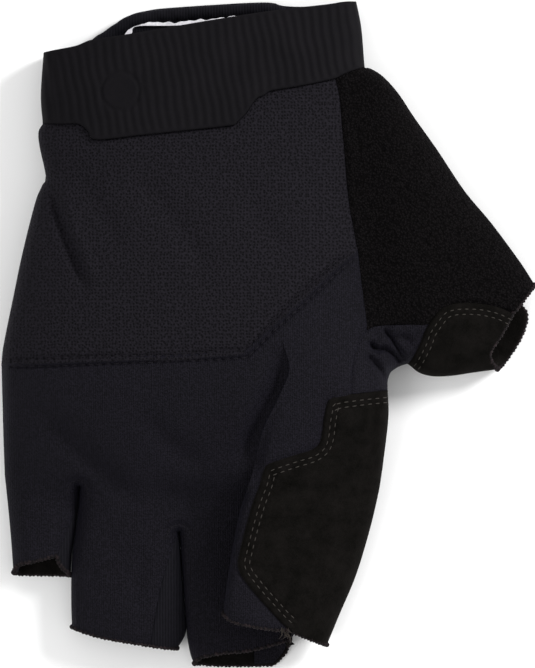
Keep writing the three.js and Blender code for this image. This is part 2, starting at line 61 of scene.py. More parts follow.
def place(shares):
    """Plan positions of (across, along) shares. Across: 0 little side, 1 index side, 2 thumb tip.
    Along: 0 longest hem, 1 finger roots, 2 cuff, 3 cuff edge."""
    across, along = np.asarray(shares, float).T
    x = np.minimum(across, 1) * HAND_WIDTH + np.maximum(across - 1, 0) * THUMB_REACH
    y = (np.minimum(along, 1) * FINGER_LENGTH + np.clip(along - 1, 0, 1) * HAND_LENGTH
         + np.maximum(along - 2, 0) * CUFF_LENGTH)
    return np.stack([x, y], -1) - PLAN_MIDDLE


def smooth(points, steps=10):
    """Catmull-Rom curve through the points: a cubic for each span, whose slopes at its two ends
    are half the step between the neighbours on either side."""
    points = np.asarray(points, float)
    ends = [2 * points[:1] - points[1:2], points, 2 * points[-1:] - points[-2:-1]]
    p = np.concatenate(ends)[:, None]
    t = np.linspace(0, 1, steps, endpoint=False)[None, :, None]
    a, b, c, d = p[:-3], p[1:-2], p[2:-1], p[3:]
    curve = 0.5 * (2 * b + (c - a) * t + (2 * a - 5 * b + 4 * c - d) * t**2
                   + (3 * b - a - 3 * c + d) * t**3)
    return np.concatenate([curve.reshape(-1, points.shape[1]), points[-1:]])


def seam(*shares):
    """Smooth seam line through a few places on the plan."""
    return smooth(place(shares))


def join(*lines):
    """One line from several, end to end, with a corner where they meet."""
    return np.concatenate([lines[0]] + [line[1:] for line in lines[1:]])


def lengths(line):
    """Length along a line up to each of its points."""
    steps = np.linalg.norm(np.diff(line, axis=0), axis=1)
    return np.concatenate([[0], np.cumsum(steps)])


def at(line, shares):
    """Points of a line at shares of its length."""
    run = lengths(line)
    return np.stack([np.interp(np.asarray(shares) * run[-1], run, axis) for axis in line.T], -1)


def distance(points, line):
    """Distance from each point to a line, the smallest over its straight steps, and the share of
    the line's length where it is met."""
    start, step = line[:-1], np.diff(line, axis=0)
    run = lengths(line)
    best = np.full(len(points), np.inf)
    where = np.zeros(len(points))
    for i in range(len(step)):
        away = points - start[i]
        t = np.clip(away @ step[i] / max(step[i] @ step[i], 1e-12), 0, 1)
        d = np.hypot(away[:, 0] - t * step[i][0], away[:, 1] - t * step[i][1])
        nearer = d < best
        best[nearer] = d[nearer]
        where[nearer] = (run[i] + t[nearer] * (run[i + 1] - run[i])) / run[-1]
    return best, where


# Tubes, a row for each section from root to mouth: the plan places of its two edges, seen with
# the mouth towards the viewer, then as shares of the height: the left and the right edge, the
# crown above them and the belly below them.
BODY = [
    ((0.110, 3.12), (0.920, 3.12), 0.29, 0.29, 0.25, 0.40),
    ((0.108, 2.55), (0.940, 2.50), 0.29, 0.29, 0.33, 0.40),
    ((0.105, 2.05), (0.945, 2.05), 0.29, 0.29, 0.40, 0.40),
    ((0.100, 1.94), (0.950, 1.94), 0.29, 0.29, 0.45, 0.40),
    ((0.114, 1.86), (0.955, 1.85), 0.29, 0.29, 0.49, 0.40),
    ((0.056, 1.65), (0.975, 1.65), 0.29, 0.29, 0.62, 0.40),
    ((0.012, 1.40), (0.990, 1.40), 0.29, 0.29, 0.70, 0.40),
    ((0.002, 1.21), (1.000, 1.21), 0.29, 0.29, 0.65, 0.40),
    ((0.007, 1.07), (0.995, 1.07), 0.28, 0.28, 0.48, 0.36),
    ((0.012, 0.97), (0.990, 0.97), 0.26, 0.26, 0.34, 0.32),
    ((0.020, 0.87), (0.985, 0.87), 0.24, 0.24, 0.17, 0.28),
]
LITTLE = [
    ((0.012, 1.20), (0.235, 1.190), 0.29, 0.29, 0.25, 0.34),
    ((0.008, 1.07), (0.215, 1.060), 0.27, 0.27, 0.25, 0.34),
    ((0.011, 0.95), (0.202, 0.940), 0.23, 0.23, 0.23, 0.27),
    ((0.019, 0.74), (0.190, 0.740), 0.21, 0.21, 0.21, 0.22),
    ((0.030, 0.49), (0.175, 0.477), 0.21, 0.21, 0.19, 0.20),
]
RING = [
    ((0.172, 1.130), (0.494, 1.100), 0.29, 0.29, 0.29, 0.34),
    ((0.193, 0.970), (0.473, 0.920), 0.27, 0.27, 0.27, 0.32),
    ((0.203, 0.870), (0.462, 0.700), 0.24, 0.24, 0.25, 0.29),
    ((0.191, 0.560), (0.464, 0.480), 0.23, 0.23, 0.23, 0.24),
    ((0.182, 0.208), (0.455, 0.096), 0.21, 0.21, 0.21, 0.20),
]
MIDDLE = [
    ((0.437, 1.13), (0.774, 1.130), 0.29, 0.29, 0.290, 0.34),
    ((0.453, 0.92), (0.748, 0.920), 0.27, 0.20, 0.240, 0.30),
    ((0.463, 0.70), (0.743, 0.700), 0.23, 0.12, 0.175, 0.25),
    ((0.471, 0.35), (0.748, 0.350), 0.21, 0.11, 0.165, 0.21),
    ((0.494, 0.05), (0.730, 0.035), 0.21, 0.11, 0.160, 0.20),
]
INDEX = [
    ((0.748, 1.360), (0.997, 1.280), 0.72, 0.34, 0.15, 0.15),
    ((0.715, 1.220), (1.000, 1.220), 0.82, 0.33, 0.19, 0.17),
    ((0.666, 1.070), (0.992, 1.070), 0.73, 0.29, 0.19, 0.17),
    ((0.626, 0.880), (0.974, 0.880), 0.64, 0.26, 0.24, 0.17),
    ((0.601, 0.600), (0.935, 0.580), 0.61, 0.21, 0.28, 0.16),
    ((0.577, 0.286), (0.844, 0.115), 0.63, 0.22, 0.27, 0.15),
]
THUMB = [
    ((0.891, 1.320), (0.853, 2.200), 0.29, 0.29, 0.30, 0.30),
    ((1.003, 1.275), (0.951, 2.460), 0.29, 0.29, 0.38, 0.38),
    ((1.090, 1.322), (1.075, 2.283), 0.29, 0.29, 0.42, 0.38),
    ((1.170, 1.313), (1.340, 1.942), 0.29, 0.29, 0.41, 0.36),
    ((1.306, 1.287), (1.524, 1.824), 0.28, 0.28, 0.37, 0.34),
    ((1.460, 1.287), (1.707, 1.730), 0.27, 0.27, 0.33, 0.32),
    ((1.620, 1.298), (1.888, 1.626), 0.26, 0.26, 0.29, 0.26),
    ((1.748, 1.306), (2.000, 1.551), 0.25, 0.25, 0.26, 0.22),
]

FIELD_STEP = 0.5
field_x = np.arange(-74, 74, FIELD_STEP)
field_y = np.arange(-90, 90, FIELD_STEP)
field_points = np.stack(np.meshgrid(field_x, field_y, indexing="ij"), -1).reshape(-1, 2)


def tube_field(table, shoulder):
    """Edge, crown and belly heights of a tube over the whole plan. A point lies between the two
    sections that it is ahead of and behind. Its crown is (1 - |w|^2.5)^0.4 of the rise, w being
    its place across from -1 to 1, held at the shoulder so that the side roll can take over. Away
    from the tube the crown falls by a millimetre for each millimetre."""
    left = smooth(place([row[0] for row in table]), 8)
    right = smooth(place([row[1] for row in table]), 8)
    zl, zr, rise, drop = HAND_HEIGHT * smooth([row[2:] for row in table], 8).T
    width = np.linalg.norm(right - left, axis=1)
    across = (right - left) / width[:, None]
    ahead_of = np.stack([across[:, 1], -across[:, 0]], -1)
    ahead = field_points @ ahead_of.T - np.sum(left * ahead_of, 1)
    between = (ahead[:, :-1] >= 0) & (ahead[:, 1:] < 0)
    found = between.any(1)
    first = between.argmax(1)
    rows = np.arange(len(field_points))
    step = ahead[rows, first] - ahead[rows, first + 1]
    t = first + ahead[rows, first] / np.where(np.abs(step) < 1e-9, 1, step)
    before = ahead[:, 0] < 0
    t = np.where(found, t, np.where(before, 0, len(table) * 8 - 8))
    beyond = np.where(found, 0, np.where(before, -ahead[:, 0], np.maximum(ahead[:, -1], 0)))
    index = np.arange(len(left))

    def mix(values):
        return np.interp(t, index, values)

    origin = np.stack([mix(left[:, 0]), mix(left[:, 1])], -1)
    side = np.stack([mix(across[:, 0]), mix(across[:, 1])], -1)
    half = mix(width) / 2
    w = np.sum((field_points - origin) * side, 1) / half - 1
    outside = np.maximum(np.abs(w) - 1, 0) * half + beyond
    held = np.minimum(np.abs(w), shoulder)
    crown = (1 - held**2.5) ** 0.4
    edge = mix(zl) + (mix(zr) - mix(zl)) * (np.clip(w, -1, 1) + 1) / 2
    return edge, edge + crown * mix(rise) - outside, edge - crown * mix(drop)


def soft_max(*fields, k=1.3):
    """The highest of several fields, with their meeting lines rounded by a log of exponentials."""
    return np.logaddexp.reduce([k * field for field in fields]) / k


def blurred(field, radius=1.2):
    """The field under a round bell of that radius, one axis after the other."""
    reach = int(3 * radius / FIELD_STEP)
    bell = np.exp(-0.5 * (np.arange(-reach, reach + 1) * FIELD_STEP / radius) ** 2)
    bell /= bell.sum()
    grid = np.pad(field.reshape(len(field_x), len(field_y)), reach, mode="edge")
    grid = sum(b * grid[i:i + len(field_x)] for i, b in enumerate(bell))
    return sum(b * grid[:, i:i + len(field_y)] for i, b in enumerate(bell))


def read(field, points):
    """Value of a field at plan points, mixed from the four values round each of them."""
    fx = np.clip((points[..., 0] - field_x[0]) / FIELD_STEP, 0, len(field_x) - 1.001)
    fy = np.clip((points[..., 1] - field_y[0]) / FIELD_STEP, 0, len(field_y) - 1.001)
    i, j = fx.astype(int), fy.astype(int)
    u, v = fx - i, fy - j
    low = field[i, j] * (1 - u) + field[i + 1, j] * u
    high = field[i, j + 1] * (1 - u) + field[i + 1, j + 1] * u
    return low * (1 - v) + high * v


def ramp(values, start, end):
    """0 before start, 1 after end, with a smooth step of 3t^2 - 2t^3 between."""
    t = np.clip((values - start) / (end - start), 0, 1)
    return t * t * (3 - 2 * t)


# Each tube's shoulder, and the drop that takes a tube out of the way where another one rules
BODY_SHOULDER, FINGER_SHOULDER, LOOSE_SHOULDER = 0.93, 0.8, 0.86
OUT_OF_THE_WAY = 12
body_tube = tube_field(BODY, BODY_SHOULDER)
finger_tubes = [tube_field(table, FINGER_SHOULDER) for table in (LITTLE, RING, MIDDLE)]
thumb_tube = tube_field(THUMB, LOOSE_SHOULDER)
index_tube = tube_field(INDEX, LOOSE_SHOULDER)
past_roots = (field_points[:, 1] + PLAN_MIDDLE[1] - FINGER_LENGTH) / HAND_LENGTH
index_fades = OUT_OF_THE_WAY * ramp(past_roots, 0.16, 0.36)
hand_fades = OUT_OF_THE_WAY * (1 - ramp(past_roots, -0.3, 0.0))
hand_crown = soft_max(body_tube[1], thumb_tube[1], *[tube[1] for tube in finger_tubes])
index_crown = blurred(soft_max(hand_crown - hand_fades, index_tube[1] - index_fades))
hand_crown = blurred(hand_crown)
index_edge = blurred(index_tube[0], 0.8)
index_belly = blurred(index_tube[2], 0.8)

# Outlines on the plan, where the back half is sewn to the palm half. Each is given in the shares
# that place() takes, and is named for the side of the glove that it runs along.
cuff_side = seam((0.109, 2.597), (0.102, 2.271), (0.107, 2.047))
waist_side = seam((0.107, 2.047), (0.096, 1.994), (0.099, 1.951), (0.115, 1.864), (0.105, 1.838),
                  (0.087, 1.788), (0.054, 1.641), (0.029, 1.507), (0.005, 1.374), (0.000, 1.322))
hand_side = seam((0.000, 1.322), (0.004, 1.151), (0.008, 1.000))
little_side = seam((0.008, 1.000), (0.017, 0.818), (0.025, 0.635), (0.030, 0.490))
little_slit = seam((0.203, 0.938), (0.1945, 0.766), (0.1815, 0.583), (0.1795, 0.477))
ring_left = seam((0.203, 0.938), (0.195, 0.766), (0.182, 0.557), (0.180, 0.349), (0.182, 0.208))
ring_slit = seam((0.461, 0.698), (0.467, 0.505), (0.475, 0.297), (0.479, 0.195), (0.470, 0.140),
                 (0.455, 0.096))
middle_left = seam((0.461, 0.698), (0.468, 0.505), (0.476, 0.286), (0.481, 0.156), (0.490, 0.062),
                   (0.499, 0.016))
middle_right = seam((0.634, 0.911), (0.664, 0.868), (0.694, 0.766), (0.722, 0.609), (0.743, 0.375),
                    (0.751, 0.193), (0.748, 0.141))
pleat = seam((0.709, 1.438), (0.735, 1.362), (0.746, 1.304), (0.717, 1.223), (0.678, 1.130), (0.652, 1.014),
             (0.634, 0.911))
index_fold = seam((0.634, 0.911), (0.619, 0.818), (0.598, 0.609), (0.582, 0.401), (0.577, 0.286))
index_root_side = seam((1.003, 1.246), (1.007, 1.162), (0.988, 1.02))
index_tip_side = seam((0.988, 1.02), (0.977, 0.901), (0.953, 0.698), (0.919, 0.474), (0.878, 0.279),
                      (0.844, 0.115))
web_side = seam((1.140, 1.322), (1.112, 1.319), (1.072, 1.312), (1.024, 1.297), (1.004, 1.273),
                (1.003, 1.246))
thumb_low = seam((1.748, 1.306), (1.592, 1.297), (1.429, 1.287), (1.306, 1.286), (1.218, 1.296),
                 (1.163, 1.314), (1.140, 1.322))
thumb_high = seam((0.942, 2.481), (0.958, 2.473), (0.990, 2.411), (1.075, 2.283), (1.184, 2.096),
                  (1.340, 1.942), (1.524, 1.824), (1.707, 1.730), (1.888, 1.626), (1.973, 1.571),
                  (2.000, 1.551))
cuff_end = seam((0.942, 2.481), (0.940, 2.543), (0.933, 2.791), (0.920, 2.992))
hand_outline = [cuff_side, waist_side, hand_side, little_side, little_slit, ring_left, ring_slit, middle_left,
                middle_right, web_side, thumb_low, thumb_high, cuff_end]

# The back stays full at the index crotch, where the index finger lies over the middle one: its
# outline leaves out the first points of the middle finger's side. Under the index finger that
# side is open for 5 mm because of it.
CROTCH_COVERED = 13
back_outline = hand_outline[:8] + [middle_right[CROTCH_COVERED:]] + hand_outline[9:]
index_side = join(index_root_side, index_tip_side)


def roll(points, outline, radius):
    """Share of the full height near an outline: (1 - (1 - d/r)^p)^(1/p) at the distance d from it,
    which starts upright at the outline and lies level after the radius r."""
    d = np.min([distance(points, line)[0] for line in outline], axis=0)
    return (1 - (1 - np.clip(d / radius, 0, 1)) ** ROLL_POWER) ** (1 / ROLL_POWER)


def side_seam(points):
    """Height of the side seam, which dips towards the fingers."""
    along = (points[:, 1] + PLAN_MIDDLE[1]) / FINGER_LENGTH
    return FINGER_SEAM + (SIDE_SEAM - FINGER_SEAM) * ramp(along, 0.75, 1.2)


def hand_top(points):
    """Back of the hand: from the side seam up to the crown of the tubes."""
    low = side_seam(points)
    return low + (read(hand_crown, points) - low) * roll(points, back_outline, SIDE_ROLL)


def hand_bottom(points):
    """Palm: from the side seam down to just above the floor."""
    low = side_seam(points)
    return low + (FLOOR_CLEARANCE - low) * roll(points, hand_outline, PALM_ROLL)


def index_top(points):
    """Back of the index finger, which starts as a pleat in the back of the hand and ends as a tube
    lying on the middle finger."""
    crown = read(index_crown, points)
    edge = np.minimum(np.maximum(read(index_edge, points), side_seam(points)), crown)
    fold = roll(points, [index_fold, index_side, web_side], FOLD_ROLL)
    tube = edge + (crown - edge) * fold
    hand = np.maximum(read(hand_crown, points), edge)
    lift = ramp(distance(points, pleat)[0], 0, PLEAT_LIFT)
    along = (points[:, 1] + PLAN_MIDDLE[1]) / FINGER_LENGTH
    root = ramp(along, 0.9, 1.15)
    return tube * (1 - root * (1 - lift)) + hand * root * (1 - lift)


def index_bottom(points):
    """Belly of the index finger: the palm at its root, the leaning tube further on."""
    edge = np.maximum(read(index_edge, points), 0)
    tube = edge + (read(index_belly, points) - edge) * roll(points, [index_fold, index_side], FOLD_ROLL)
    along = (points[:, 1] + PLAN_MIDDLE[1]) / FINGER_LENGTH
    free = 1 - ramp(along, 0.80, 1.05)
    return hand_bottom(points) * (1 - free) + tube * free


def ease(count, start=False, end=False):
    """Shares from 0 to 1, crowded towards the ends that lie on an outline: six parts of a cosine's
    shares to one part of even ones."""
    s = np.linspace(0, 1, count + 1)
    if start and end:
        crowded = (1 - np.cos(np.pi * s)) / 2
    elif start:
        crowded = 1 - np.cos(np.pi * s / 2)
    else:
        crowded = np.sin(np.pi * s / 2) if end else s
    return (6 * crowded + s) / 7


def level(line, shares):
    """Points of a rising line at shares of its rise along Y."""
    y = line[0, 1] + np.asarray(shares) * (line[-1, 1] - line[0, 1])
    return np.stack([np.interp(y, line[:, 1], line[:, 0]), y], -1)


def upright(line, shares):
    """Points of a line that runs to the right at shares of its run along X."""
    x = line[0, 0] + np.asarray(shares) * (line[-1, 0] - line[0, 0])
    return np.stack([x, np.interp(x, line[:, 0], line[:, 1])], -1)


def patch(bottom, top, left, right, us, vs, sides=at, ends=at):
    """Plan grid between four lines, by the Coons rule: the ruled sheet between bottom and top, and
    the one between left and right, less the one through the four corners."""
    b, t, l, r = ends(bottom, us), ends(top, us), sides(left, vs), sides(right, vs)
    u, v = np.asarray(us)[:, None, None], np.asarray(vs)[None, :, None]
    ruled = (1 - v) * b[:, None] + v * t[:, None] + (1 - u) * l[None] + u * r[None]
    corners = (1 - u) * ((1 - v) * b[0] + v * t[0]) + u * ((1 - v) * b[-1] + v * t[-1])
    return ruled - corners


def raised(grid, height):
    """The plan grid with a height worked out for each of its points."""
    flat = grid.reshape(-1, 2)
    return np.concatenate([flat, height(flat)[:, None]], 1).reshape(*grid.shape[:2], 3)


def groove(points, line, width, depth, fade=0.0):
    """A bell-shaped groove along a line, depth * exp(-(d/width)^2), which fades at both ends."""
    d, where = distance(points, line)
    ends = ramp(where, 0, fade) * ramp(1 - where, 0, fade) if fade else 1
    return depth * np.exp(-((d / width) ** 2)) * ends


def creased(z, points, folds, fade):
    """Heights with a row of folds pressed in, each given as its line, width and depth."""
    for fold, width, depth in folds:
        z = z - groove(points, fold, width, depth, fade)
    return z


def offset(line, gap):
    """A line moved sideways to its left by a gap, in millimetres."""
    run = np.gradient(line, axis=0)
    run /= np.linalg.norm(run, axis=1)[:, None]
    return line + gap * np.stack([-run[:, 1], run[:, 0]], -1)


def dimples(points, line, width, depth, pitch):
    """A groove whose depth goes up and down once for each stitch along its line."""
    d, where = distance(points, line)
    beat = 0.75 + 0.25 * np.cos(2 * np.pi * where * lengths(line)[-1] / pitch)
    return depth * beat * np.exp(-((d / width) ** 2))


def faces_of(columns, rows, closed=False):
    """Four-sided faces of a grid; closed joins the last row of points to the first."""
    i, j = np.meshgrid(np.arange(columns - 1), np.arange(rows if closed else rows - 1), indexing="ij")
    k = (j + 1) % rows
    return np.stack([i * rows + j, (i + 1) * rows + j, (i + 1) * rows + k, i * rows + k], -1).reshape(-1, 4)


def mesh_piece(name, parts, material, nodes=(), merge=0.004, turn_out=False):
    """One piece from parts of (points in mm, faces), joined where their points meet. The faces of
    closed bodies are turned outwards."""
    points = np.concatenate([part[0].reshape(-1, 3) for part in parts]) * MM
    starts = np.cumsum([0] + [part[0].reshape(-1, 3).shape[0] for part in parts[:-1]])
    faces = np.concatenate([part[1] + start for part, start in zip(parts, starts)])
    mesh = bpy.data.meshes.new(name)
    mesh.from_pydata(points.tolist(), [], faces.tolist())
    work = bmesh.new()
    work.from_mesh(mesh)
    bmesh.ops.remove_doubles(work, verts=work.verts, dist=merge * MM)
    if turn_out:
        bmesh.ops.recalc_face_normals(work, faces=work.faces)
    work.to_mesh(mesh)
    work.free()
    mesh.shade_smooth()
    mesh.materials.append(material)
    piece = bpy.data.objects.new(name, mesh)
    bpy.context.scene.collection.objects.link(piece)
    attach(piece, "root")
    if nodes:
        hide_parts(*nodes)
    return piece


def sewn(name, plans, height, material, nodes, thickness=1.2, up=True):
    """A piece of cloth from plan grids raised to a height, thickened on its inner side."""
    parts = []
    for plan in plans:
        faces = faces_of(*plan.shape[:2])
        parts.append((raised(plan, height), faces if up else faces[:, ::-1]))
    piece = mesh_piece(name, parts, material, nodes)
    wall = piece.modifiers.new("wall", "SOLIDIFY")
    wall.thickness = thickness * MM
    wall.offset = -1
    return piece


def linear(colour):
    """Linear red, green, blue and alpha of an sRGB hex colour."""
    value = np.array([int(colour[i:i + 2], 16) for i in (1, 3, 5)]) / 255
    low = value <= 0.04045
    return tuple(np.where(low, value / 12.92, ((value + 0.055) / 1.055) ** 2.4)) + (1.0,)


def node(tree, kind, settings=None, out=0, **links):
    """Adds a shader node of a kind, with its settings and with each named input set or linked, and
    gives back one of its outputs."""
    made = tree.nodes.new("ShaderNode" + kind)
    for key, value in (settings or {}).items():
        setattr(made, key, value)
    for key, value in links.items():
        socket = made.inputs[int(key[1:])] if key[1:].isdigit() else made.inputs[key.replace("_", " ")]
        if isinstance(value, bpy.types.NodeSocket):
            tree.links.new(value, socket)
        else:
            socket.default_value = value
    return made.outputs[out]


def material_of(name, roughness, specular=0.1, sheen=0.0, sheen_tint="#ffffff"):
    """An empty material with its shader; what is the same all over is set on the shader."""
    made = bpy.data.materials.new(name)
    made.use_nodes = True
    shader = made.node_tree.nodes["Principled BSDF"]
    shader.inputs["Roughness"].default_value = roughness
    shader.inputs["Specular IOR Level"].default_value = specular
    shader.inputs["Sheen Weight"].default_value = sheen
    shader.inputs["Sheen Roughness"].default_value = 0.5
    shader.inputs["Sheen Tint"].default_value = linear(sheen_tint)
    return made, made.node_tree, shader


def finish(tree, shader, share, dark, light, height, strength, depth, fleck=None):
    """Colours the cloth from dark to light by a share, darkened by flecks if it has any, and bumps
    it by a height field whose depth is in millimetres."""
    tone = node(tree, "Mix", {"data_type": "RGBA"}, 2, Factor=share, A=linear(dark), B=linear(light))
    if fleck:
        tone = node(tree, "Mix", {"data_type": "RGBA", "blend_type": "MULTIPLY"}, 2, Factor=FLECK_SHARE,
                    A=tone, B=fleck)
    bump = node(tree, "Bump", Strength=strength, Distance=depth * MM, Height=height)
    tree.links.new(tone, shader.inputs["Base Color"])
    tree.links.new(bump, shader.inputs["Normal"])


# Back of the hand: polyester mesh knit, with a grid of small open dots between fine ribs. It is
# cut in one piece from the cuff to the knuckles, and its lower edge is sewn with two needles.
DOT_PITCH = 0.85
FLECK_SHARE = 0.7
KNIT_GRAIN = 2300.0  # per metre: a fleck for each 0.43 mm, about the width of one stitch of the knits
back_edge_low = seam((0.000, 1.322), (0.126, 1.325), (0.256, 1.330), (0.463, 1.339), (0.580, 1.346),
                     (0.619, 1.351), (0.639, 1.365), (0.691, 1.420), (0.709, 1.438))
back_edge_slant = seam((0.709, 1.438), (0.785, 1.513), (0.852, 1.586), (0.922, 1.649))
terry_seam = seam((0.922, 1.649), (0.912, 1.710), (0.898, 1.803), (0.887, 1.951), (0.882, 2.031),
                  (0.876, 2.248), (0.865, 2.388))
band_low = seam((0.107, 2.047), (0.162, 2.039), (0.198, 2.039), (0.214, 2.019), (0.228, 1.992),
                (0.248, 1.968), (0.359, 1.980), (0.463, 1.992), (0.598, 2.023), (0.612, 2.050),
                (0.634, 2.116), (0.660, 2.225), (0.681, 2.257), (0.699, 2.290), (0.754, 2.318),
                (0.808, 2.349), (0.865, 2.388))
waist_fold = seam((0.118, 1.852), (0.152, 1.748), (0.183, 1.652), (0.209, 1.580), (0.235, 1.507))
stitch_high = seam((0.009, 1.330), (0.256, 1.345), (0.463, 1.348), (0.575, 1.362), (0.611, 1.362),
                   (0.637, 1.368), (0.686, 1.425), (0.777, 1.533), (0.850, 1.603), (0.888, 1.640))
stitch_low = seam((0.009, 1.313), (0.191, 1.319), (0.515, 1.333), (0.621, 1.340), (0.640, 1.345),
                  (0.686, 1.396), (0.722, 1.434), (0.798, 1.510), (0.870, 1.585), (0.907, 1.620))
panel_edge = join(back_edge_low, back_edge_slant)
terry_row = offset(terry_seam, 1.5)
SEAM_STITCH = 2.1
back_folds = (
    (seam((0.33, 1.93), (0.40, 1.80), (0.50, 1.66), (0.56, 1.52)), 3.2, 0.7),
    (seam((0.17, 1.93), (0.26, 1.76), (0.34, 1.62)), 2.6, 0.6),
    (seam((0.62, 1.88), (0.68, 1.72), (0.78, 1.60)), 3.0, 0.5),
)


def double_seam(z, points, row):
    """Heights with one needle's row pulled in and the welt between the two needles raised."""
    return z - dimples(points, row, 0.42, 0.85, SEAM_STITCH) + groove(points, panel_edge, 0.6, 0.45)


def back_height(points):
    """The hand's back with its seam valleys, the welt between the two needles and the waist fold."""
    z = double_seam(hand_top(points), points, stitch_high)
    z = z - groove(points, terry_seam, 0.7, 0.4) - dimples(points, terry_row, 0.4, 0.35, SEAM_STITCH)
    z = creased(z, points, back_folds, 0.35) - groove(points, waist_fold, 1.4, 1.7, 0.3)
    return z + groove(points, waist_fold + [2.6, 0.6], 1.8, 0.7, 0.3)


def mesh_knit():
    """Mesh knit: dark polyester yarn whose rows of small holes read as a fine grid of dots."""
    made, tree, shader = material_of("polyester_mesh_knit", 0.8, 0.06, 0.03, "#8f86a6")
    where = node(tree, "TexCoord", out="Object")
    scaled = node(tree, "Mapping", Vector=where, Scale=(1 / (DOT_PITCH * MM),) * 3)
    dots = node(tree, "TexVoronoi", {"voronoi_dimensions": "2D"}, Vector=scaled, Scale=1.0,
                Randomness=0.6)
    hole = node(tree, "MapRange", {"interpolation_type": "SMOOTHSTEP"}, Value=dots, From_Min=0.12,
                From_Max=0.42)
    yarn = node(tree, "TexNoise", Vector=where, Scale=KNIT_GRAIN, Detail=3.0)
    fleck = node(tree, "MapRange", Value=yarn, From_Min=0.4, From_Max=0.6, To_Min=0.35)
    # The holes are painted darker, partly for the dark cloth seen through them and partly as painted shade
    # inside them.
    finish(tree, shader, hole, "#0b0a0d", "#19171c", hole, 0.6, 0.25, fleck)
    return made


mesh_cloth = mesh_knit()
# The sheet goes on a little way under the cuff band, by this step
tuck = place([(0.5, 2.045)]) - place([(0.5, 2.0)])
back_grid = patch(panel_edge, band_low + tuck, join(waist_side[::-1], (waist_side[:1] + tuck)),
                  join(terry_seam, terry_seam[-1:] + tuck), ease(170, start=True), ease(120))
sewn("back_of_hand", [back_grid], back_height, mesh_cloth, ["back_panel"])


# Back of the fingers: thin stretch jersey, sewn to the mesh with two needles. It covers the
# knuckles and the backs of the little, ring and middle fingers, and is slit between them.
WALE_PITCH = 0.55
DRIFT = 45.0  # per metre: the dye drifts over 22 mm
WAVE_TURN = 3.2  # waves per unit that the wave texture makes at a scale of 1
crotch_little, crotch_ring, crotch_index = (0.203, 0.938), (0.461, 0.698), (0.634, 0.911)
little_root = place([(0.008, 1.000), crotch_little])
ring_root = place([crotch_little, crotch_ring])
middle_root = place([crotch_ring, crotch_index])
little_hem_top = seam((0.030, 0.490), (0.045, 0.533), (0.092, 0.557), (0.144, 0.583))
ring_hem_top = seam((0.182, 0.208), (0.256, 0.161), (0.385, 0.115))
middle_hem_top = seam((0.499, 0.016), (0.518, 0.052), (0.580, 0.078), (0.645, 0.089), (0.748, 0.141))
little_gusset_edge = seam(crotch_little, (0.188, 0.80), (0.166, 0.68), (0.144, 0.583))
ring_gusset_edge = seam(crotch_ring, (0.440, 0.60), (0.411, 0.401), (0.385, 0.115))
knuckle_folds = (
    (seam((0.705, 1.39), (0.722, 1.29), (0.680, 1.18), (0.640, 1.08), (0.618, 1.00)), 3.0, 3.0),
    (seam((0.07, 1.25), (0.18, 1.10), (0.29, 0.97), (0.385, 0.80)), 3.2, 1.5),
    (seam((0.36, 1.20), (0.45, 1.08), (0.56, 1.02)), 3.0, 1.0),
    (seam((0.26, 0.80), (0.30, 0.60), (0.31, 0.38)), 2.8, 0.35),
    (seam((0.370, 0.66), (0.355, 0.45), (0.350, 0.26)), 2.2, 0.55),
)
crotch_arches = (
    seam((0.170, 0.915), (0.180, 0.965), (0.203, 0.985), (0.222, 0.955), (0.226, 0.915)),
    seam((0.428, 0.690), (0.438, 0.735), (0.461, 0.752), (0.484, 0.730), (0.490, 0.690)),
)
finger_seams = (
    seam((0.203, 0.93), (0.200, 0.60), (0.204, 0.20)),
    seam((0.514, 0.35), (0.516, 0.20), (0.520, 0.06)),
)
LITTLE_COLUMNS, RING_COLUMNS, MIDDLE_COLUMNS, FINGER_ROWS = 44, 68, 60, 68


def root_shares():
    """Columns of the knuckle sheet, crowded towards each slit as the fingers' own columns are."""
    run = np.cumsum([0] + [lengths(root)[-1] for root in (little_root, ring_root, middle_root)])
    run /= run[-1]
    counts = (LITTLE_COLUMNS, RING_COLUMNS, MIDDLE_COLUMNS)
    spans = [run[i] + (run[i + 1] - run[i]) * ease(count, True, True) for i, count in enumerate(counts)]
    return np.concatenate([spans[0], spans[1][1:], spans[2][1:]])


def gusset_valleys(z, points):
    """Heights with the shallow valleys where the finger gussets are sewn on."""
    return z - groove(points, little_gusset_edge, 0.6, 0.2) - groove(points, ring_gusset_edge, 0.6, 0.2)


def knuckle_height(points):
    """The hand's back, with a valley along the sewn edge and the soft hollows between the fingers."""
    z = creased(double_seam(hand_top(points), points, stitch_low), points, knuckle_folds, 0.3)
    z = gusset_valleys(z, points)
    for arch in crotch_arches:
        z = z - groove(points, arch, 0.6, 0.35) + groove(points, arch - [0, 1.1], 0.5, 0.25)
    for line in finger_seams:
        z = z - groove(points, line, 0.45, 0.2)
    return z


def stretch_jersey():
    """Stretch jersey: fine even wales of black polyamide with a faint blue sheen on the rounds."""
    made, tree, shader = material_of("stretch_jersey", 0.7, 0.06, 0.03, "#8f8fb4")
    where = node(tree, "TexCoord", out="Object")
    wales = node(tree, "TexWave", out="Fac", Vector=where, Scale=1 / (WALE_PITCH * MM) / WAVE_TURN,
                 Distortion=0.6, Detail=1.0)
    grain = node(tree, "TexNoise", Vector=where, Scale=KNIT_GRAIN, Detail=3.0)
    tufts = node(tree, "MapRange", Value=grain, From_Min=0.4, From_Max=0.6)
    height = node(tree, "Mix", Factor=0.65, _2=wales, _3=tufts)
    drift = node(tree, "TexNoise", Vector=where, Scale=DRIFT, Detail=3.0)
    blend = node(tree, "Mix", Factor=0.3, _2=height, _3=drift)
    finish(tree, shader, blend, "#020203", "#18161d", height, 0.7, 0.2)
    return made


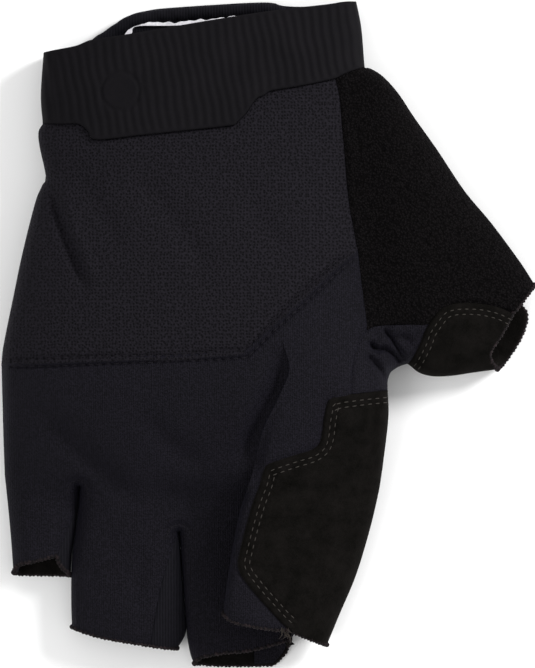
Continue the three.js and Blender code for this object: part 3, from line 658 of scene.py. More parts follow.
jersey = stretch_jersey()
knuckle_sheets = [
    patch(join(little_root, ring_root, middle_root), back_edge_low, hand_side[::-1], pleat[::-1],
          root_shares(), ease(125)),
]
back_fingers = (
    (little_hem_top, little_root, little_side, little_gusset_edge, LITTLE_COLUMNS),
    (ring_hem_top, ring_root, ring_left, ring_gusset_edge, RING_COLUMNS),
    (middle_hem_top, middle_root, middle_left, middle_right, MIDDLE_COLUMNS),
)
knuckle_sheets += [patch(hem, root, left[::-1], right[::-1], ease(columns, True, True), ease(FINGER_ROWS))
                   for hem, root, left, right, columns in back_fingers]
sewn("back_of_fingers", knuckle_sheets, knuckle_height, jersey, ["knuckle_panel"])

# Back of the index finger: the same jersey, in a strip that starts as a pleat under the double
# seam and folds over the middle finger, so its left edge is a soft roll and no seam.
terry_seam_low = seam((0.922, 1.649), (0.935, 1.526), (0.943, 1.461), (0.947, 1.420))
web_seam = seam((0.947, 1.420), (0.927, 1.383), (0.913, 1.342), (0.907, 1.290), (0.904, 1.235))
patch_top = seam((0.904, 1.235), (0.878, 1.231), (0.857, 1.225))
patch_side = seam((0.857, 1.225), (0.844, 1.212), (0.834, 1.162), (0.829, 1.116), (0.821, 1.091),
                  (0.800, 1.074), (0.761, 1.061), (0.720, 1.046), (0.689, 1.032), (0.678, 1.010),
                  (0.671, 0.964), (0.652, 0.862), (0.633, 0.729), (0.619, 0.615), (0.613, 0.547),
                  (0.623, 0.484), (0.658, 0.391), (0.689, 0.320), (0.720, 0.250), (0.746, 0.201))
index_hem_back = seam((0.577, 0.286), (0.598, 0.252), (0.645, 0.228), (0.707, 0.207), (0.746, 0.201))
patch_hem = seam((0.746, 0.201), (0.792, 0.159), (0.844, 0.115))
under_suede = seam((0.904, 1.235), (0.930, 1.10), (0.940, 0.90), (0.920, 0.65), (0.880, 0.42),
                   (0.830, 0.25), (0.792, 0.159))


def index_height(points):
    """The index finger's back with valleys where it is sewn."""
    z = double_seam(index_top(points), points, stitch_low)
    z = z - groove(points, web_seam, 0.6, 0.35) - groove(points, terry_seam_low, 0.7, 0.3)
    return z - groove(points, patch_side, 0.7, 0.3)


index_right = join(terry_seam_low, web_seam, under_suede)
index_hem_cloth = join(index_hem_back, seam((0.746, 0.201), (0.770, 0.180), (0.792, 0.159)))
index_sheet = patch(index_hem_cloth, back_edge_slant, join(pleat, index_fold)[::-1], index_right[::-1],
                    ease(84, start=True), ease(200), sides=level)
sewn("back_of_index", [index_sheet], index_height, jersey, ["index_back"])

# Suede patch of the index finger: brushed synthetic suede laid over the grip side and brought
# round to the back, where it is held by two rows of pale topstitching.
NAP_SIZE = 0.35
CLOUDS = 230.0  # per metre: a cloud of nap for each 4.3 mm
PATCH_ROWS, PATCH_STITCH = (1.75, 3.0), 1.95
SUEDE_PROUD, SUEDE_EDGE, SUEDE_SUNK = 0.45, 0.5, 0.15
patch_line = join(seam((1.003, 1.246), (0.950, 1.241), (0.904, 1.235)), patch_top, patch_side)
patch_root = join(patch_top[::-1], seam((0.904, 1.235), (0.950, 1.241), (1.003, 1.246)))


def brushed_suede():
    """Brushed synthetic suede: a short nap that lies in patches, so it is matt and faintly clouded."""
    made, tree, shader = material_of("brushed_suede", 0.95, 0.03, 0.03, "#9c948c")
    where = node(tree, "TexCoord", out="Object")
    nap = node(tree, "TexNoise", Vector=where, Scale=1 / (NAP_SIZE * MM), Detail=4.0,
               Roughness=0.7)
    clouds = node(tree, "TexNoise", Vector=where, Scale=CLOUDS, Detail=4.0, Roughness=0.7)
    both = node(tree, "Mix", Factor=0.6, _2=nap, _3=clouds)
    spread = node(tree, "MapRange", Value=both, From_Min=0.33, From_Max=0.68)
    finish(tree, shader, spread, "#040403", "#131110", nap, 0.5, 0.2)
    return made


def laid_on(z, points, edge):
    """Heights raised by the thickness of the suede, which falls away at its cut edge."""
    return z + SUEDE_PROUD * ramp(distance(points, edge)[0], 0, SUEDE_EDGE) - SUEDE_SUNK


def suede_height(points):
    """The index finger's back with the suede on it, whose two stitched rows are pulled in."""
    z = laid_on(index_top(points), points, patch_line)
    for gap in PATCH_ROWS:
        z = z - dimples(points, offset(patch_line, gap), 0.4, 0.3, PATCH_STITCH)
    return z


suede = brushed_suede()
suede_sheet = patch(patch_hem, patch_root, patch_side[::-1], index_side[::-1], ease(84, end=True), ease(190))
sewn("index_suede", [suede_sheet], suede_height, suede, ["index_patch"])

# Thumb: cotton terry over the back of the thumb, to wipe the brow. Its loops are short and close.
LOOP_SIZE, LOOP_HEIGHT, LOOP_SEED = 0.55, 0.5, 7
PRESSED_WIDTH, PRESSED_DEPTH = 0.8, 0.3
LOOP_TWIST = 1900.0  # per metre: a fleck for each 0.53 mm, the turn of a loop's yarn
band_low_end = seam((0.865, 2.388), (0.893, 2.431), (0.920, 2.462), (0.942, 2.481))
web_top = seam((0.947, 1.420), (0.964, 1.429), (0.995, 1.433), (1.143, 1.435), (1.235, 1.434),
               (1.279, 1.438))
thumb_patch_top = seam((1.279, 1.438), (1.313, 1.458), (1.361, 1.481), (1.415, 1.492), (1.483, 1.497),
                       (1.592, 1.497), (1.680, 1.492), (1.769, 1.482), (1.844, 1.467))
thumb_hem_terry = seam((2.000, 1.551), (1.908, 1.501), (1.844, 1.467))


def loops(points, size, seed):
    """Height of a pile of loops, from 0 to 1: the smooth mix of random heights on a square grid,
    turned a little, over a second grid of half the size."""
    total = 0
    for scale, share in ((1.0, 0.6), (0.55, 0.4)):
        heights = np.random.default_rng(seed + int(scale * 100)).random((512, 512))
        turned = points @ np.array([[0.94, -0.34], [0.34, 0.94]]) / (size * scale) + 200
        i, j = turned[:, 0].astype(int), turned[:, 1].astype(int)
        u, v = (turned - np.floor(turned)).T
        u, v = u * u * (3 - 2 * u), v * v * (3 - 2 * v)
        low = heights[i, j] * (1 - u) + heights[i + 1, j] * u
        high = heights[i, j + 1] * (1 - u) + heights[i + 1, j + 1] * u
        total = total + share * (low * (1 - v) + high * v)
    return total


def terry_height(points):
    """The thumb's back with its loops, which are pressed flat where it is sewn."""
    edges = [terry_seam, terry_seam_low, web_top, thumb_patch_top]
    near = np.min([distance(points, edge)[0] for edge in edges], axis=0)
    pile = LOOP_HEIGHT * loops(points, LOOP_SIZE, LOOP_SEED) * ramp(near, 0, 1.2)
    return hand_top(points) + pile - PRESSED_DEPTH * np.exp(-((near / PRESSED_WIDTH) ** 2))


def cotton_terry():
    """Cotton terry: close black loops, with painted highlight on the loop tips and painted shade in the dark
    gaps between them.
    """
    made, tree, shader = material_of("cotton_terry", 1.0, 0.02, 0.02, "#8c8088")
    where = node(tree, "TexCoord", out="Object")
    cells = node(tree, "TexVoronoi", Vector=where, Scale=1 / (LOOP_SIZE * MM),
                 Randomness=1.0)
    twist = node(tree, "TexNoise", Vector=where, Scale=LOOP_TWIST, Detail=3.0)
    # Painted light: the loop tips are painted lighter as highlight and the gaps darker as shade; the same mix
    # also bumps the loops.
    tip_highlight_gap_shade = node(tree, "MapRange", Value=cells, From_Min=0.65, From_Max=0.1)
    both = node(tree, "Mix", Factor=0.45, _2=tip_highlight_gap_shade, _3=twist)
    finish(tree, shader, both, "#010101", "#171516", both, 0.8, 0.5)
    return made


terry = cotton_terry()
terry_sheet = patch(join(web_top, thumb_patch_top), join(band_low_end, thumb_high),
                    join(terry_seam_low[::-1], terry_seam), thumb_hem_terry[::-1],
                    ease(175), ease(175, end=True))
sewn("thumb_terry", [terry_sheet], terry_height, terry, ["thumb_panel"])

# Web between thumb and index finger: a small jersey gusset that gathers in folds, because the
# glove lies with its thumb half closed.
web_folds = (
    (seam((0.948, 1.390), (0.971, 1.364), (0.991, 1.366), (1.037, 1.350), (1.085, 1.328), (1.120, 1.300)),
     0.7, 1.9),
    (seam((0.986, 1.430), (1.047, 1.379), (1.112, 1.339), (1.150, 1.310)), 0.5, 1.4),
    (seam((0.940, 1.348), (0.964, 1.328), (0.988, 1.292), (1.003, 1.260)), 0.7, 1.1),
    (seam((1.010, 1.395), (1.090, 1.400), (1.170, 1.385)), 0.8, 0.6),
)
web_foot = seam((0.904, 1.235), (0.950, 1.241), (1.003, 1.246))
thumb_patch_side = seam((1.140, 1.322), (1.163, 1.335), (1.190, 1.357), (1.224, 1.386), (1.248, 1.416),
                        (1.279, 1.438))


def web_height(points):
    """The web with its folds pressed in and the cloth between them puffed up."""
    z = hand_top(points) - groove(points, web_seam, 0.6, 0.35)
    free = ramp(distance(points, web_side)[0], 0.2, 1.8)
    for fold, width, depth in web_folds:
        puff = groove(points, offset(fold, 1.8), 1.2, 0.35, 0.2)
        z = z + free * (puff - groove(points, fold, width, depth, 0.15))
    return z - groove(points, web_top, 0.6, 0.3) - groove(points, thumb_patch_side, 0.5, 0.25)


web_sheet = patch(web_foot, web_top, web_seam[::-1], join(web_side[::-1], thumb_patch_side),
                  ease(80, end=True), ease(80))
sewn("thumb_web_cloth", [web_sheet], web_height, jersey, ["thumb_web"])

# Suede patch round the thumb: the suede of the index patch, laid on and topstitched twice in the
# same way. Its mouth is overlocked with the terry's. Its sheet turns a corner part way along the
# patch's upper edge, which is cut in two there.
THUMB_ROWS, THUMB_STITCH, THUMB_VALLEYS = (1.5, 2.8), 1.85, (1.4, 2.8)
PATCH_CORNER = 30
thumb_patch_line = join(thumb_patch_side, thumb_patch_top)
thumb_patch_left = join(thumb_patch_side, thumb_patch_top[:PATCH_CORNER])
thumb_patch_upper = thumb_patch_top[PATCH_CORNER - 1:]
thumb_patch_mouth = seam((1.748, 1.306), (1.700, 1.330), (1.690, 1.352), (1.722, 1.378), (1.769, 1.409),
                         (1.844, 1.467))


def thumb_suede_height(points):
    """The thumb's back raised by the suede, with the two stitched rows pulled in."""
    z = laid_on(hand_top(points), points, thumb_patch_line)
    for gap in THUMB_VALLEYS:
        z = z - groove(points, offset(thumb_patch_line, -gap), 0.4, 0.14)
    return z


thumb_suede_sheet = patch(thumb_low[::-1], thumb_patch_upper, thumb_patch_left, thumb_patch_mouth, ease(110),
                          ease(80, start=True))
sewn("thumb_suede", [thumb_suede_sheet], thumb_suede_height, suede, ["thumb_patch"])

# Finger gussets: strips of fine rib knit that form the sides of the little and ring fingers.
RIB_KNIT_PITCH = 0.7
THREAD_GRAIN = 1100.0  # per metre: a fleck for each 0.9 mm, the turn of a twisted yarn


def rib_knit():
    """Fine rib knit: close ridges of a soft yarn, with painted highlight on their crowns and painted shade
    between them.
    """
    made, tree, shader = material_of("fine_rib_knit", 0.8, 0.05, 0.03, "#8f8fa8")
    where = node(tree, "TexCoord", out="Object")
    ridges = node(tree, "TexWave", out="Fac", Vector=where, Scale=1 / (RIB_KNIT_PITCH * MM) / WAVE_TURN,
                  Distortion=1.2, Detail=2.0)
    fuzz = node(tree, "TexNoise", Vector=where, Scale=THREAD_GRAIN, Detail=3.0)
    # The ridges also set the colour: painted highlight on their crowns and painted shade in the hollows
    # between them.
    both = node(tree, "Mix", Factor=0.5, _2=ridges, _3=fuzz)
    finish(tree, shader, both, "#050507", "#17161b", both, 0.5, 0.2)
    return made


def gusset_height(points):
    """The fingers' sloping sides, with a valley along the edge of the back."""
    return gusset_valleys(hand_top(points), points)


knit = rib_knit()
little_gusset_hem = seam((0.144, 0.583), (0.154, 0.530), (0.1795, 0.477))
ring_gusset_hem = seam((0.385, 0.115), (0.420, 0.104), (0.455, 0.096))
# A row for each strip: its name, hem, upper edge, lower edge and root, and the solid it replaces
gussets = (
    ("little_gusset", little_gusset_hem, little_gusset_edge, little_slit, crotch_little,
     "gusset_little_ring"),
    ("ring_gusset", ring_gusset_hem, ring_gusset_edge, ring_slit, crotch_ring, "gusset_ring_middle"),
)
for name, hem, edge, slit, crotch, cad_node in gussets:
    sheet = patch(hem, place([crotch, crotch]), edge[::-1], slit[::-1], ease(16, end=True), ease(FINGER_ROWS))
    sewn(name, [sheet], gusset_height, knit, [cad_node], thickness=1.0)

# Palm: one sheet of the same suede from the cuff to the fingertips and round the thumb. It
# rests on the floor, and only its rim and the inside of the mouths are seen.
little_hem_palm = seam((0.030, 0.490), (0.045, 0.482), (0.100, 0.479), (0.1795, 0.477))
ring_hem_palm = seam((0.182, 0.208), (0.205, 0.188), (0.300, 0.138), (0.455, 0.096))
middle_hem_palm = join(seam((0.499, 0.016), (0.560, 0.006), (0.640, 0.005), (0.705, 0.008)),
                       seam((0.705, 0.008), (0.735, 0.070), (0.748, 0.141)))
thumb_hem_palm = seam((2.000, 1.551), (1.915, 1.499), (1.952, 1.461), (1.912, 1.400), (1.803, 1.328),
                      (1.748, 1.306))
cuff_line = place([(0.107, 2.047), (0.945, 2.040)])
thumb_inner = seam((1.003, 1.246), (0.975, 1.700), (0.945, 2.040))
thumb_cuff = place([(0.945, 2.040), (0.942, 2.481)])
index_root = place([crotch_index, (0.988, 1.02)])
palm_foot = join(little_root, ring_root, middle_root, index_root)
palm_sheets = [
    patch(palm_foot, cuff_line, join(hand_side[::-1], waist_side[::-1]),
          join(index_root_side[::-1], thumb_inner), ease(60, start=True), ease(60)),
]
palm_fingers = (
    (little_hem_palm, little_root, little_side, little_slit, 30),
    (ring_hem_palm, ring_root, ring_left, ring_slit, 40),
    (middle_hem_palm, middle_root, middle_left, middle_right, 40),
)
palm_sheets += [patch(hem, root, left[::-1], right[::-1], ease(columns, True, True), ease(40))
                for hem, root, left, right, columns in palm_fingers]
palm_sheets.append(patch(join(web_side[::-1], thumb_low[::-1]), thumb_high, join(thumb_inner, thumb_cuff),
                         thumb_hem_palm[::-1], ease(60), ease(50, True, True)))
sewn("palm_suede", palm_sheets, hand_bottom, suede, ["palm_panel"], thickness=1.6, up=False)
index_hem_palm = join(index_hem_back, patch_hem)
under_sheet = patch(index_hem_palm, index_root, index_fold[::-1], index_tip_side[::-1], ease(50, True, True),
                    ease(70))
sewn("index_grip", [under_sheet], index_bottom, suede, ["index_patch"], thickness=1.2, up=False)

# Cuff band: a strip of moulded elastic, ribbed across, that closes the wrist. It stands proud of
# the cloth that it is sewn over, and carries one plain round place.
BAND_PROUD, RIB_PITCH, RIB_DEPTH, RIB_LEAN = 1.0, 2.2, 0.27, 0.17
BADGE, BADGE_RADIUS = (0.310, 2.291), 4.7
BADGE_RING, BADGE_RING_WIDTH, BADGE_DISH = 0.4, 0.45, 0.10
RUBBER_GRAIN, RUBBER_DRIFT = 1500.0, 120.0  # per metre: a grain of 0.67 mm, and wear over 8 mm
band_top = seam((0.109, 2.597), (0.193, 2.640), (0.235, 2.686), (0.313, 2.721), (0.393, 2.760),
                (0.515, 2.822), (0.624, 2.876), (0.725, 2.921), (0.790, 2.943), (0.847, 2.964),
                (0.888, 2.985), (0.920, 2.992))


def band_height(points):
    """The wrist's back raised by the band, less the grooves between its ribs: depth times
    (1 - cos) / 2 of the place along the band, which leans with it and wanders a little. The ribs
    die out at the band's edges and on the round place."""
    badge = place([BADGE])[0]
    away = np.hypot(*(points - badge).T)
    edge = np.min([distance(points, line)[0] for line in (band_top, band_low, band_low_end)], axis=0)
    x, y = points.T
    wander = 0.22 * np.sin(y / 4 + x / 5) + 0.1 * np.sin(y / 1.5 - x / 3)
    turn = 2 * np.pi * (x + RIB_LEAN * y + wander) / RIB_PITCH
    fades = ramp(edge, 0.1, 1.3) * ramp(away, BADGE_RADIUS, BADGE_RADIUS + 0.5)
    ribs = RIB_DEPTH * (1 - np.cos(turn)) / 2 * fades
    ring = BADGE_RING * np.exp(-(((away - BADGE_RADIUS) / BADGE_RING_WIDTH) ** 2))
    ring = ring + BADGE_DISH * ramp(BADGE_RADIUS - away, 0.3, 1.5)
    rise = BAND_PROUD * np.clip(roll(points, [cuff_side, cuff_end], 3.0), 0, 1)
    return hand_top(points) + rise - ribs - ring - 0.25 * np.exp(-((edge / 0.35) ** 2))


def moulded_elastic():
    """Moulded elastic: matt black rubbery yarn, smooth with a faint grain and a soft broad gloss."""
    made, tree, shader = material_of("moulded_elastic", 0.75, 0.05, 0.01, "#9a969c")
    where = node(tree, "TexCoord", out="Object")
    grain = node(tree, "TexNoise", Vector=where, Scale=RUBBER_GRAIN, Detail=2.0)
    drift = node(tree, "TexNoise", Vector=where, Scale=RUBBER_DRIFT, Detail=3.0)
    both = node(tree, "Mix", Factor=0.6, _2=grain, _3=drift)
    finish(tree, shader, both, "#070709", "#131114", grain, 0.25, 0.1)
    return made


elastic = moulded_elastic()
band_sheet = patch(join(band_low, band_low_end), band_top, cuff_side[::-1], cuff_end, ease(380, True, True),
                   ease(56), ends=upright)
sewn("ribbed_band", [band_sheet], band_height, elastic, ["cuff_band"], thickness=1.8)

# Rear of the cuff: soft knit under the wrist, with a rolled rim behind the band and a pale
# binding tape sewn inside the rim.
RIM_RADIUS, RIM_BEHIND, RIM_LIFT, RIM_STEP, RIM_SIDES = 1.55, 0.15, 2.1, 0.35, 14
RIM_SPAN = (0.215, 0.745)
rear_top = seam((0.109, 2.597), (0.178, 2.612), (0.214, 2.655), (0.243, 2.721), (0.268, 2.775),
                (0.294, 2.829), (0.320, 2.876), (0.346, 2.911), (0.385, 2.934), (0.411, 2.946),
                (0.515, 2.969), (0.645, 2.992), (0.702, 2.992), (0.728, 2.969), (0.774, 2.961),
                (0.813, 2.969), (0.865, 2.984), (0.920, 2.992))
rear_right = join(thumb_cuff, cuff_end)
rear_sheet = patch(cuff_line, rear_top, cuff_side[::-1], rear_right, ease(80, True, True), ease(40))
sewn("rear_cuff_knit", [rear_sheet], hand_bottom, knit, ["rear_cuff"], thickness=2.0, up=False)


def evenly(path, step, closed=True, rounds=6):
    """A path walked in even steps, with its corners eased by averaging neighbours."""
    if closed:
        path = np.concatenate([path, path[:1]])
    run = lengths(path)
    shares = np.linspace(0, run[-1], int(run[-1] / step) + 1)
    path = np.stack([np.interp(shares, run, axis) for axis in path.T], -1)
    if not closed:
        return path
    path = path[:-1]
    for _ in range(rounds):
        path = (np.roll(path, 1, 0) + 2 * path + np.roll(path, -1, 0)) / 4
    return path


def rope(path, radius, sides=10, closed=True):
    """Tube round a path, with its side vector level and its top square to it. The radius is a
    function of the length along the path and of the angle round it. An open tube narrows to a
    point at each end."""
    run = (np.roll(path, -1, 0) - np.roll(path, 1, 0)) if closed else np.gradient(path, axis=0)
    run /= np.linalg.norm(run, axis=1)[:, None]
    side = np.cross(run, [0, 0, 1.0])
    side /= np.maximum(np.linalg.norm(side, axis=1), 1e-6)[:, None]
    top = np.cross(side, run)
    angle = np.linspace(0, 2 * np.pi, sides, endpoint=False)[None]
    r = radius(lengths(path)[:, None], angle)
    if not closed:
        r = r * np.sqrt(np.clip(np.minimum(lengths(path), lengths(path)[::-1]), 0, 1))[:, None]
    ring = (path[:, None] + (r * np.cos(angle))[..., None] * side[:, None]
            + (r * np.sin(angle))[..., None] * top[:, None])
    if closed:
        ring = np.concatenate([ring, ring[:1]])
    return ring, faces_of(len(ring), sides, closed=True)


def rim_radius(along, angle):
    """The rolled rim, a little uneven where the knit bunches."""
    return RIM_RADIUS + 0.08 * np.sin(along / 1.7) + 0.05 * np.sin(along / 0.6 + 2 * angle)


rim_start, rim_end = place([(share, 0) for share in RIM_SPAN])[:, 0]
rim_line = rear_top[(rear_top[:, 0] > rim_start) & (rear_top[:, 0] < rim_end)]
rim_path = np.column_stack([rim_line + [0.1, -RIM_RADIUS - RIM_BEHIND],
                            hand_bottom(rim_line + [0, -1.5]) + RIM_LIFT])
rim = rope(evenly(rim_path, RIM_STEP, closed=False), rim_radius, RIM_SIDES, closed=False)
mesh_piece("rolled_rim", [rim], knit, turn_out=True)

# Binding tape: a strip of white cotton tape stitched inside the rear cuff; its upper edge frays.
TAPE_FRAY, TAPE_LIFT, TAPE_COCKLE = 0.22, 2.75, 0.12
TAPE_WEAVE = 1300.0  # per metre: a crossing of threads for each 0.77 mm
tape_top = seam((0.315, 2.715), (0.326, 2.775), (0.341, 2.829), (0.463, 2.843), (0.619, 2.890),
                (0.728, 2.915))
tape_foot = seam((0.325, 2.715), (0.337, 2.755), (0.352, 2.808), (0.463, 2.815), (0.619, 2.862),
                 (0.728, 2.890))


def fray(line):
    """The line with its points pushed about by a sum of short waves, in millimetres."""
    run = lengths(line)
    push = TAPE_FRAY * (np.sin(run / 0.9) * np.sin(run / 2.3 + 1) + 0.5 * np.sin(run / 0.42))
    return line + np.column_stack([0 * push, push])


def tape_height(points):
    """Just above the inner face of the rear cuff."""
    return hand_bottom(points) + TAPE_LIFT + TAPE_COCKLE * np.sin(points[:, 0] / 1.3)


def cotton_tape():
    """Cotton tape: chalk white, quite matt, with the shallow crossed threads of a plain weave."""
    made, tree, shader = material_of("cotton_tape", 0.9, 0.1)
    where = node(tree, "TexCoord", out="Object")
    weave = node(tree, "TexNoise", Vector=where, Scale=TAPE_WEAVE, Detail=3.0)
    finish(tree, shader, weave, "#b4aebc", "#ffffff", weave, 0.4, 0.15)
    return made


even_top = at(tape_top, np.linspace(0, 1, 300))
tape_sheet = patch(tape_foot, fray(even_top), np.stack([tape_foot[0], even_top[0]]),
                   np.stack([tape_foot[-1], fray(even_top)[-1]]), ease(300), ease(8))
sewn("binding_tape", [tape_sheet], tape_height, cotton_tape(), ["cuff_tape"], thickness=0.4)

# Hems: each mouth is overlocked, so a close row of small thread loops wraps its raw edge.
HEM_RADIUS, HEM_LOOP, HEM_STEP = 0.55, 0.95, 0.16
HEM_SUNK, HEM_LIFT = 0.45, 0.75


def overlock_thread():
    """Overlock thread: dull brown-black polyester with a trace of dusty pink on the loops."""
    made, tree, shader = material_of("overlock_thread", 0.75, 0.1, 0.03, "#a08c90")
    where = node(tree, "TexCoord", out="Object")
    twist = node(tree, "TexNoise", Vector=where, Scale=THREAD_GRAIN, Detail=3.0)
    spread = node(tree, "MapRange", Value=twist, From_Min=0.42, From_Max=0.68)
    finish(tree, shader, spread, "#080607", "#221a1c", twist, 0.4, 0.15)
    return made


def hem_radius(along, angle):
    """Radius of the overlocked edge: one slanting loop of thread after another."""
    turn = 2 * np.pi * along / HEM_LOOP + angle
    return HEM_RADIUS + 0.12 * np.sin(turn) + 0.06 * np.sin(0.37 * turn + 1)


def mouth(upper, above, lower, below):
    """Closed path round a mouth: the upper line at the height of the back, then the lower line."""
    low = lower[::-1]
    top_part = np.column_stack([upper, above(upper) - HEM_SUNK])
    low_part = np.column_stack([low, below(low) + HEM_LIFT])
    return evenly(np.concatenate([top_part, low_part]), HEM_STEP)


thread = overlock_thread()
# A row for each mouth: its name, its upper line and height, its lower line and height, its solid
mouths = (
    ("hem_of_little", join(little_hem_top, little_gusset_hem), hand_top, little_hem_palm, hand_bottom,
     "hem_little"),
    ("hem_of_ring", join(ring_hem_top, ring_gusset_hem), hand_top, ring_hem_palm, hand_bottom, "hem_ring"),
    ("hem_of_middle", middle_hem_top, hand_top, middle_hem_palm, hand_bottom, "hem_middle"),
    ("hem_of_index", index_hem_palm, index_top, index_hem_palm, index_bottom, "hem_index"),
    ("hem_of_thumb", join(thumb_hem_terry, thumb_patch_mouth[::-1]), hand_top, thumb_hem_palm, hand_bottom,
     "hem_thumb"),
)
for name, upper, above, lower, below, cad_node in mouths:
    hem = rope(mouth(upper, above, lower, below), hem_radius)
    mesh_piece(name, [hem], thread, [cad_node], turn_out=True)

# Turn-in: in the middle finger's mouth the far side of its jersey shows. It is the same cloth,
# turned in a little below the hem.
TURN_IN_LIFT = 2.3
turn_in = patch(seam((0.655, 0.010), (0.705, 0.016)), seam((0.655, 0.110), (0.743, 0.155)),
                place([(0.655, 0.010), (0.655, 0.110)]), seam((0.705, 0.016), (0.731, 0.075), (0.743, 0.155)),
                ease(20), ease(20))
sewn("middle_turn_in", [turn_in], lambda points: hand_bottom(points) + TURN_IN_LIFT, jersey,
     [], thickness=0.6)

# Tuft: ends of undyed thread, left long where the seam of the index hem was finished. They
# spring from one spot of the hem and bend down over its edge.
TUFT_STRANDS, TUFT_LENGTH, TUFT_RADIUS, TUFT_SPREAD = 14, 3.2, 0.09, 0.8
TUFT_AIM, TUFT_CURL, TUFT_SEED = (-2.6, -0.7), 0.9, 5
tuft_random = np.random.default_rng(TUFT_SEED)
tuft_root = place([(0.735, 0.205)])[0]
strands = []
for strand in range(TUFT_STRANDS):
    aim = tuft_random.uniform(*TUFT_AIM)
    t = np.linspace(0, 1, 10)
    curl = tuft_random.uniform(-TUFT_CURL, TUFT_CURL) * t**2
    reach = TUFT_LENGTH * tuft_random.uniform(0.5, 1.0) * t
    plan = tuft_root + tuft_random.uniform(-TUFT_SPREAD, TUFT_SPREAD, 2) + np.column_stack(
        [reach * np.cos(aim + curl), reach * np.sin(aim + curl)])
    lift = index_top(plan[:1])[0] + 0.2 + 0.8 * np.sin(np.pi * t) - 1.2 * t
    strands.append(rope(np.column_stack([plan, lift]), lambda along, angle: TUFT_RADIUS + 0 * along * angle,
                        6, closed=False))

# Topstitching: single stitches of thread, sunk a little in the cloth. Those on the suede are
# pale grey, and those on the back are nearly as dark as the cloth.
STITCH_WIDTH, STITCH_RAISED, TILT_REACH = 0.26, 0.02, 0.4
DARK_STITCH, ARCH_STITCH = 1.4, (1.1, 0.8)


def spun_thread(name, colour):
    """Spun polyester thread of one colour, dull and round."""
    made, _, shader = material_of(name, 0.7, 0.1)
    shader.inputs["Base Color"].default_value = linear(colour)
    return made


def stitches(line, height, pitch, length):
    """One small closed body for each stitch: five rings of six points, whose radius is that of an
    ellipse, so both ends dip into the cloth."""
    run = lengths(line)
    spots = np.arange(pitch / 2, run[-1], pitch)
    centre = at(line, spots / run[-1])
    ahead = at(line, (spots + 0.1) / run[-1]) - at(line, (spots - 0.1) / run[-1])
    ahead /= np.linalg.norm(ahead, axis=1)[:, None]
    tilt = (height(centre + TILT_REACH * ahead) - height(centre - TILT_REACH * ahead)) / (2 * TILT_REACH)
    middle = np.column_stack([centre, height(centre) + STITCH_RAISED])
    along = np.column_stack([ahead, tilt])
    side = np.column_stack([ahead[:, 1], -ahead[:, 0], 0 * tilt])
    reach = np.array([-1, -0.7, 0, 0.7, 1]) * length / 2
    thick = np.array([0.15, 0.75, 1, 0.75, 0.15]) * STITCH_WIDTH / 2
    angle = np.arange(6) * np.pi / 3
    points = (middle[:, None, None] + along[:, None, None] * reach[None, :, None, None]
              + side[:, None, None] * (thick[:, None] * np.cos(angle))[None, ..., None]
              + np.array([0, 0, 1.0]) * (thick[:, None] * np.sin(angle))[None, ..., None])
    ends = np.array([[0, 3, 2, 1], [0, 5, 4, 3], [24, 25, 26, 27], [24, 27, 28, 29]])
    body = np.concatenate([faces_of(5, 6, closed=True), ends])
    faces = (body[None] + 30 * np.arange(len(spots))[:, None, None]).reshape(-1, 4)
    return points.reshape(-1, 3), faces


pleat_x = place([(0.72, 1.4)])[0, 0]


def top_of_back(points):
    """The back of the fingers, and from the pleat onwards the back of the index finger."""
    return np.where(points[:, 0] > pleat_x, index_height(points), knuckle_height(points))


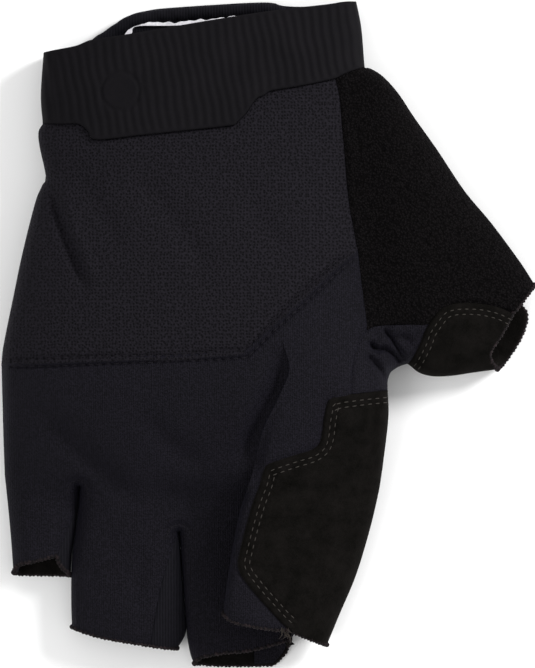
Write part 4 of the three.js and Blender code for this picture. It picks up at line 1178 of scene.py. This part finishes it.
pale_rows = [stitches(offset(patch_line, gap), suede_height, PATCH_STITCH, 1.1) for gap in PATCH_ROWS]
pale_rows += [stitches(offset(thumb_patch_line, -gap), thumb_suede_height, THUMB_STITCH, 1.0)
              for gap in THUMB_ROWS]
mesh_piece("suede_topstitching", pale_rows, spun_thread("pale_grey_thread", "#35322f"),
           merge=0.0001, turn_out=True)
mesh_piece("thread_tuft", strands, spun_thread("undyed_thread", "#2e2925"), merge=0.0001,
           turn_out=True)
dark_rows = [stitches(stitch_high, back_height, SEAM_STITCH, DARK_STITCH),
             stitches(stitch_low, top_of_back, SEAM_STITCH, DARK_STITCH),
             stitches(terry_row, back_height, SEAM_STITCH, 1.3)]
dark_rows += [stitches(arch - [0, 0.5], knuckle_height, *ARCH_STITCH) for arch in crotch_arches]
mesh_piece("back_topstitching", dark_rows, spun_thread("charcoal_thread", "#17151a"),
           merge=0.0001, turn_out=True)


# Camera straight above, as the photograph is taken, over a pale floor. A key lamp stands at the
# thumb's side, and a weaker and broader one opposite fills the shadows.
VIEW_HEIGHT, VIEW_MIDDLE, VIEW_LEVEL, VIEW_SPAN = 1400.0, (-0.6, -0.5), 6.0, 167.0
SENSOR = 36.0
camera = bpy.data.objects.new("camera", bpy.data.cameras.new("camera"))
bpy.context.scene.collection.objects.link(camera)
camera.location = (VIEW_MIDDLE[0] * MM, VIEW_MIDDLE[1] * MM, VIEW_HEIGHT * MM)
camera.data.sensor_width = SENSOR
camera.data.lens = SENSOR * (VIEW_HEIGHT - VIEW_LEVEL) / VIEW_SPAN
camera.data.clip_start = 0.01
bpy.context.scene.camera = camera

FLOOR_REACH = 2.0
floor_mesh = bpy.data.meshes.new("floor")
corners = FLOOR_REACH * np.array([(-1, -1, 0), (1, -1, 0), (1, 1, 0), (-1, 1, 0)])
floor_mesh.from_pydata(corners.tolist(), [], [(0, 1, 2, 3)])
floor = bpy.data.objects.new("floor", floor_mesh)
bpy.context.scene.collection.objects.link(floor)
paper, _, paper_shader = material_of("white_paper", 0.9, 0.1)
paper_shader.inputs["Base Color"].default_value = linear("#f4f4f4")
floor_mesh.materials.append(paper)

# A row for each lamp: its place and width in metres, and its power in watts. Both face the glove.
lamps = (
    ("key", (1.0, 0.6, 0.7), 0.45, 20.0),
    ("fill", (-0.8, -0.4, 1.0), 0.9, 6.0),
)
for name, spot, size, power in lamps:
    light = bpy.data.objects.new(name, bpy.data.lights.new(name, "AREA"))
    light.data.shape = "DISK"
    light.data.size = size
    light.data.energy = power
    light.location = spot
    light.rotation_euler = Vector(spot).to_track_quat("Z", "Y").to_euler()
    bpy.context.scene.collection.objects.link(light)
world = bpy.data.worlds.new("studio")
world.use_nodes = True
background = world.node_tree.nodes["Background"]
background.inputs["Color"].default_value = (1, 1, 1, 1)
background.inputs["Strength"].default_value = 0.75
bpy.context.scene.world = world
bpy.context.scene.view_settings.view_transform = "Standard"
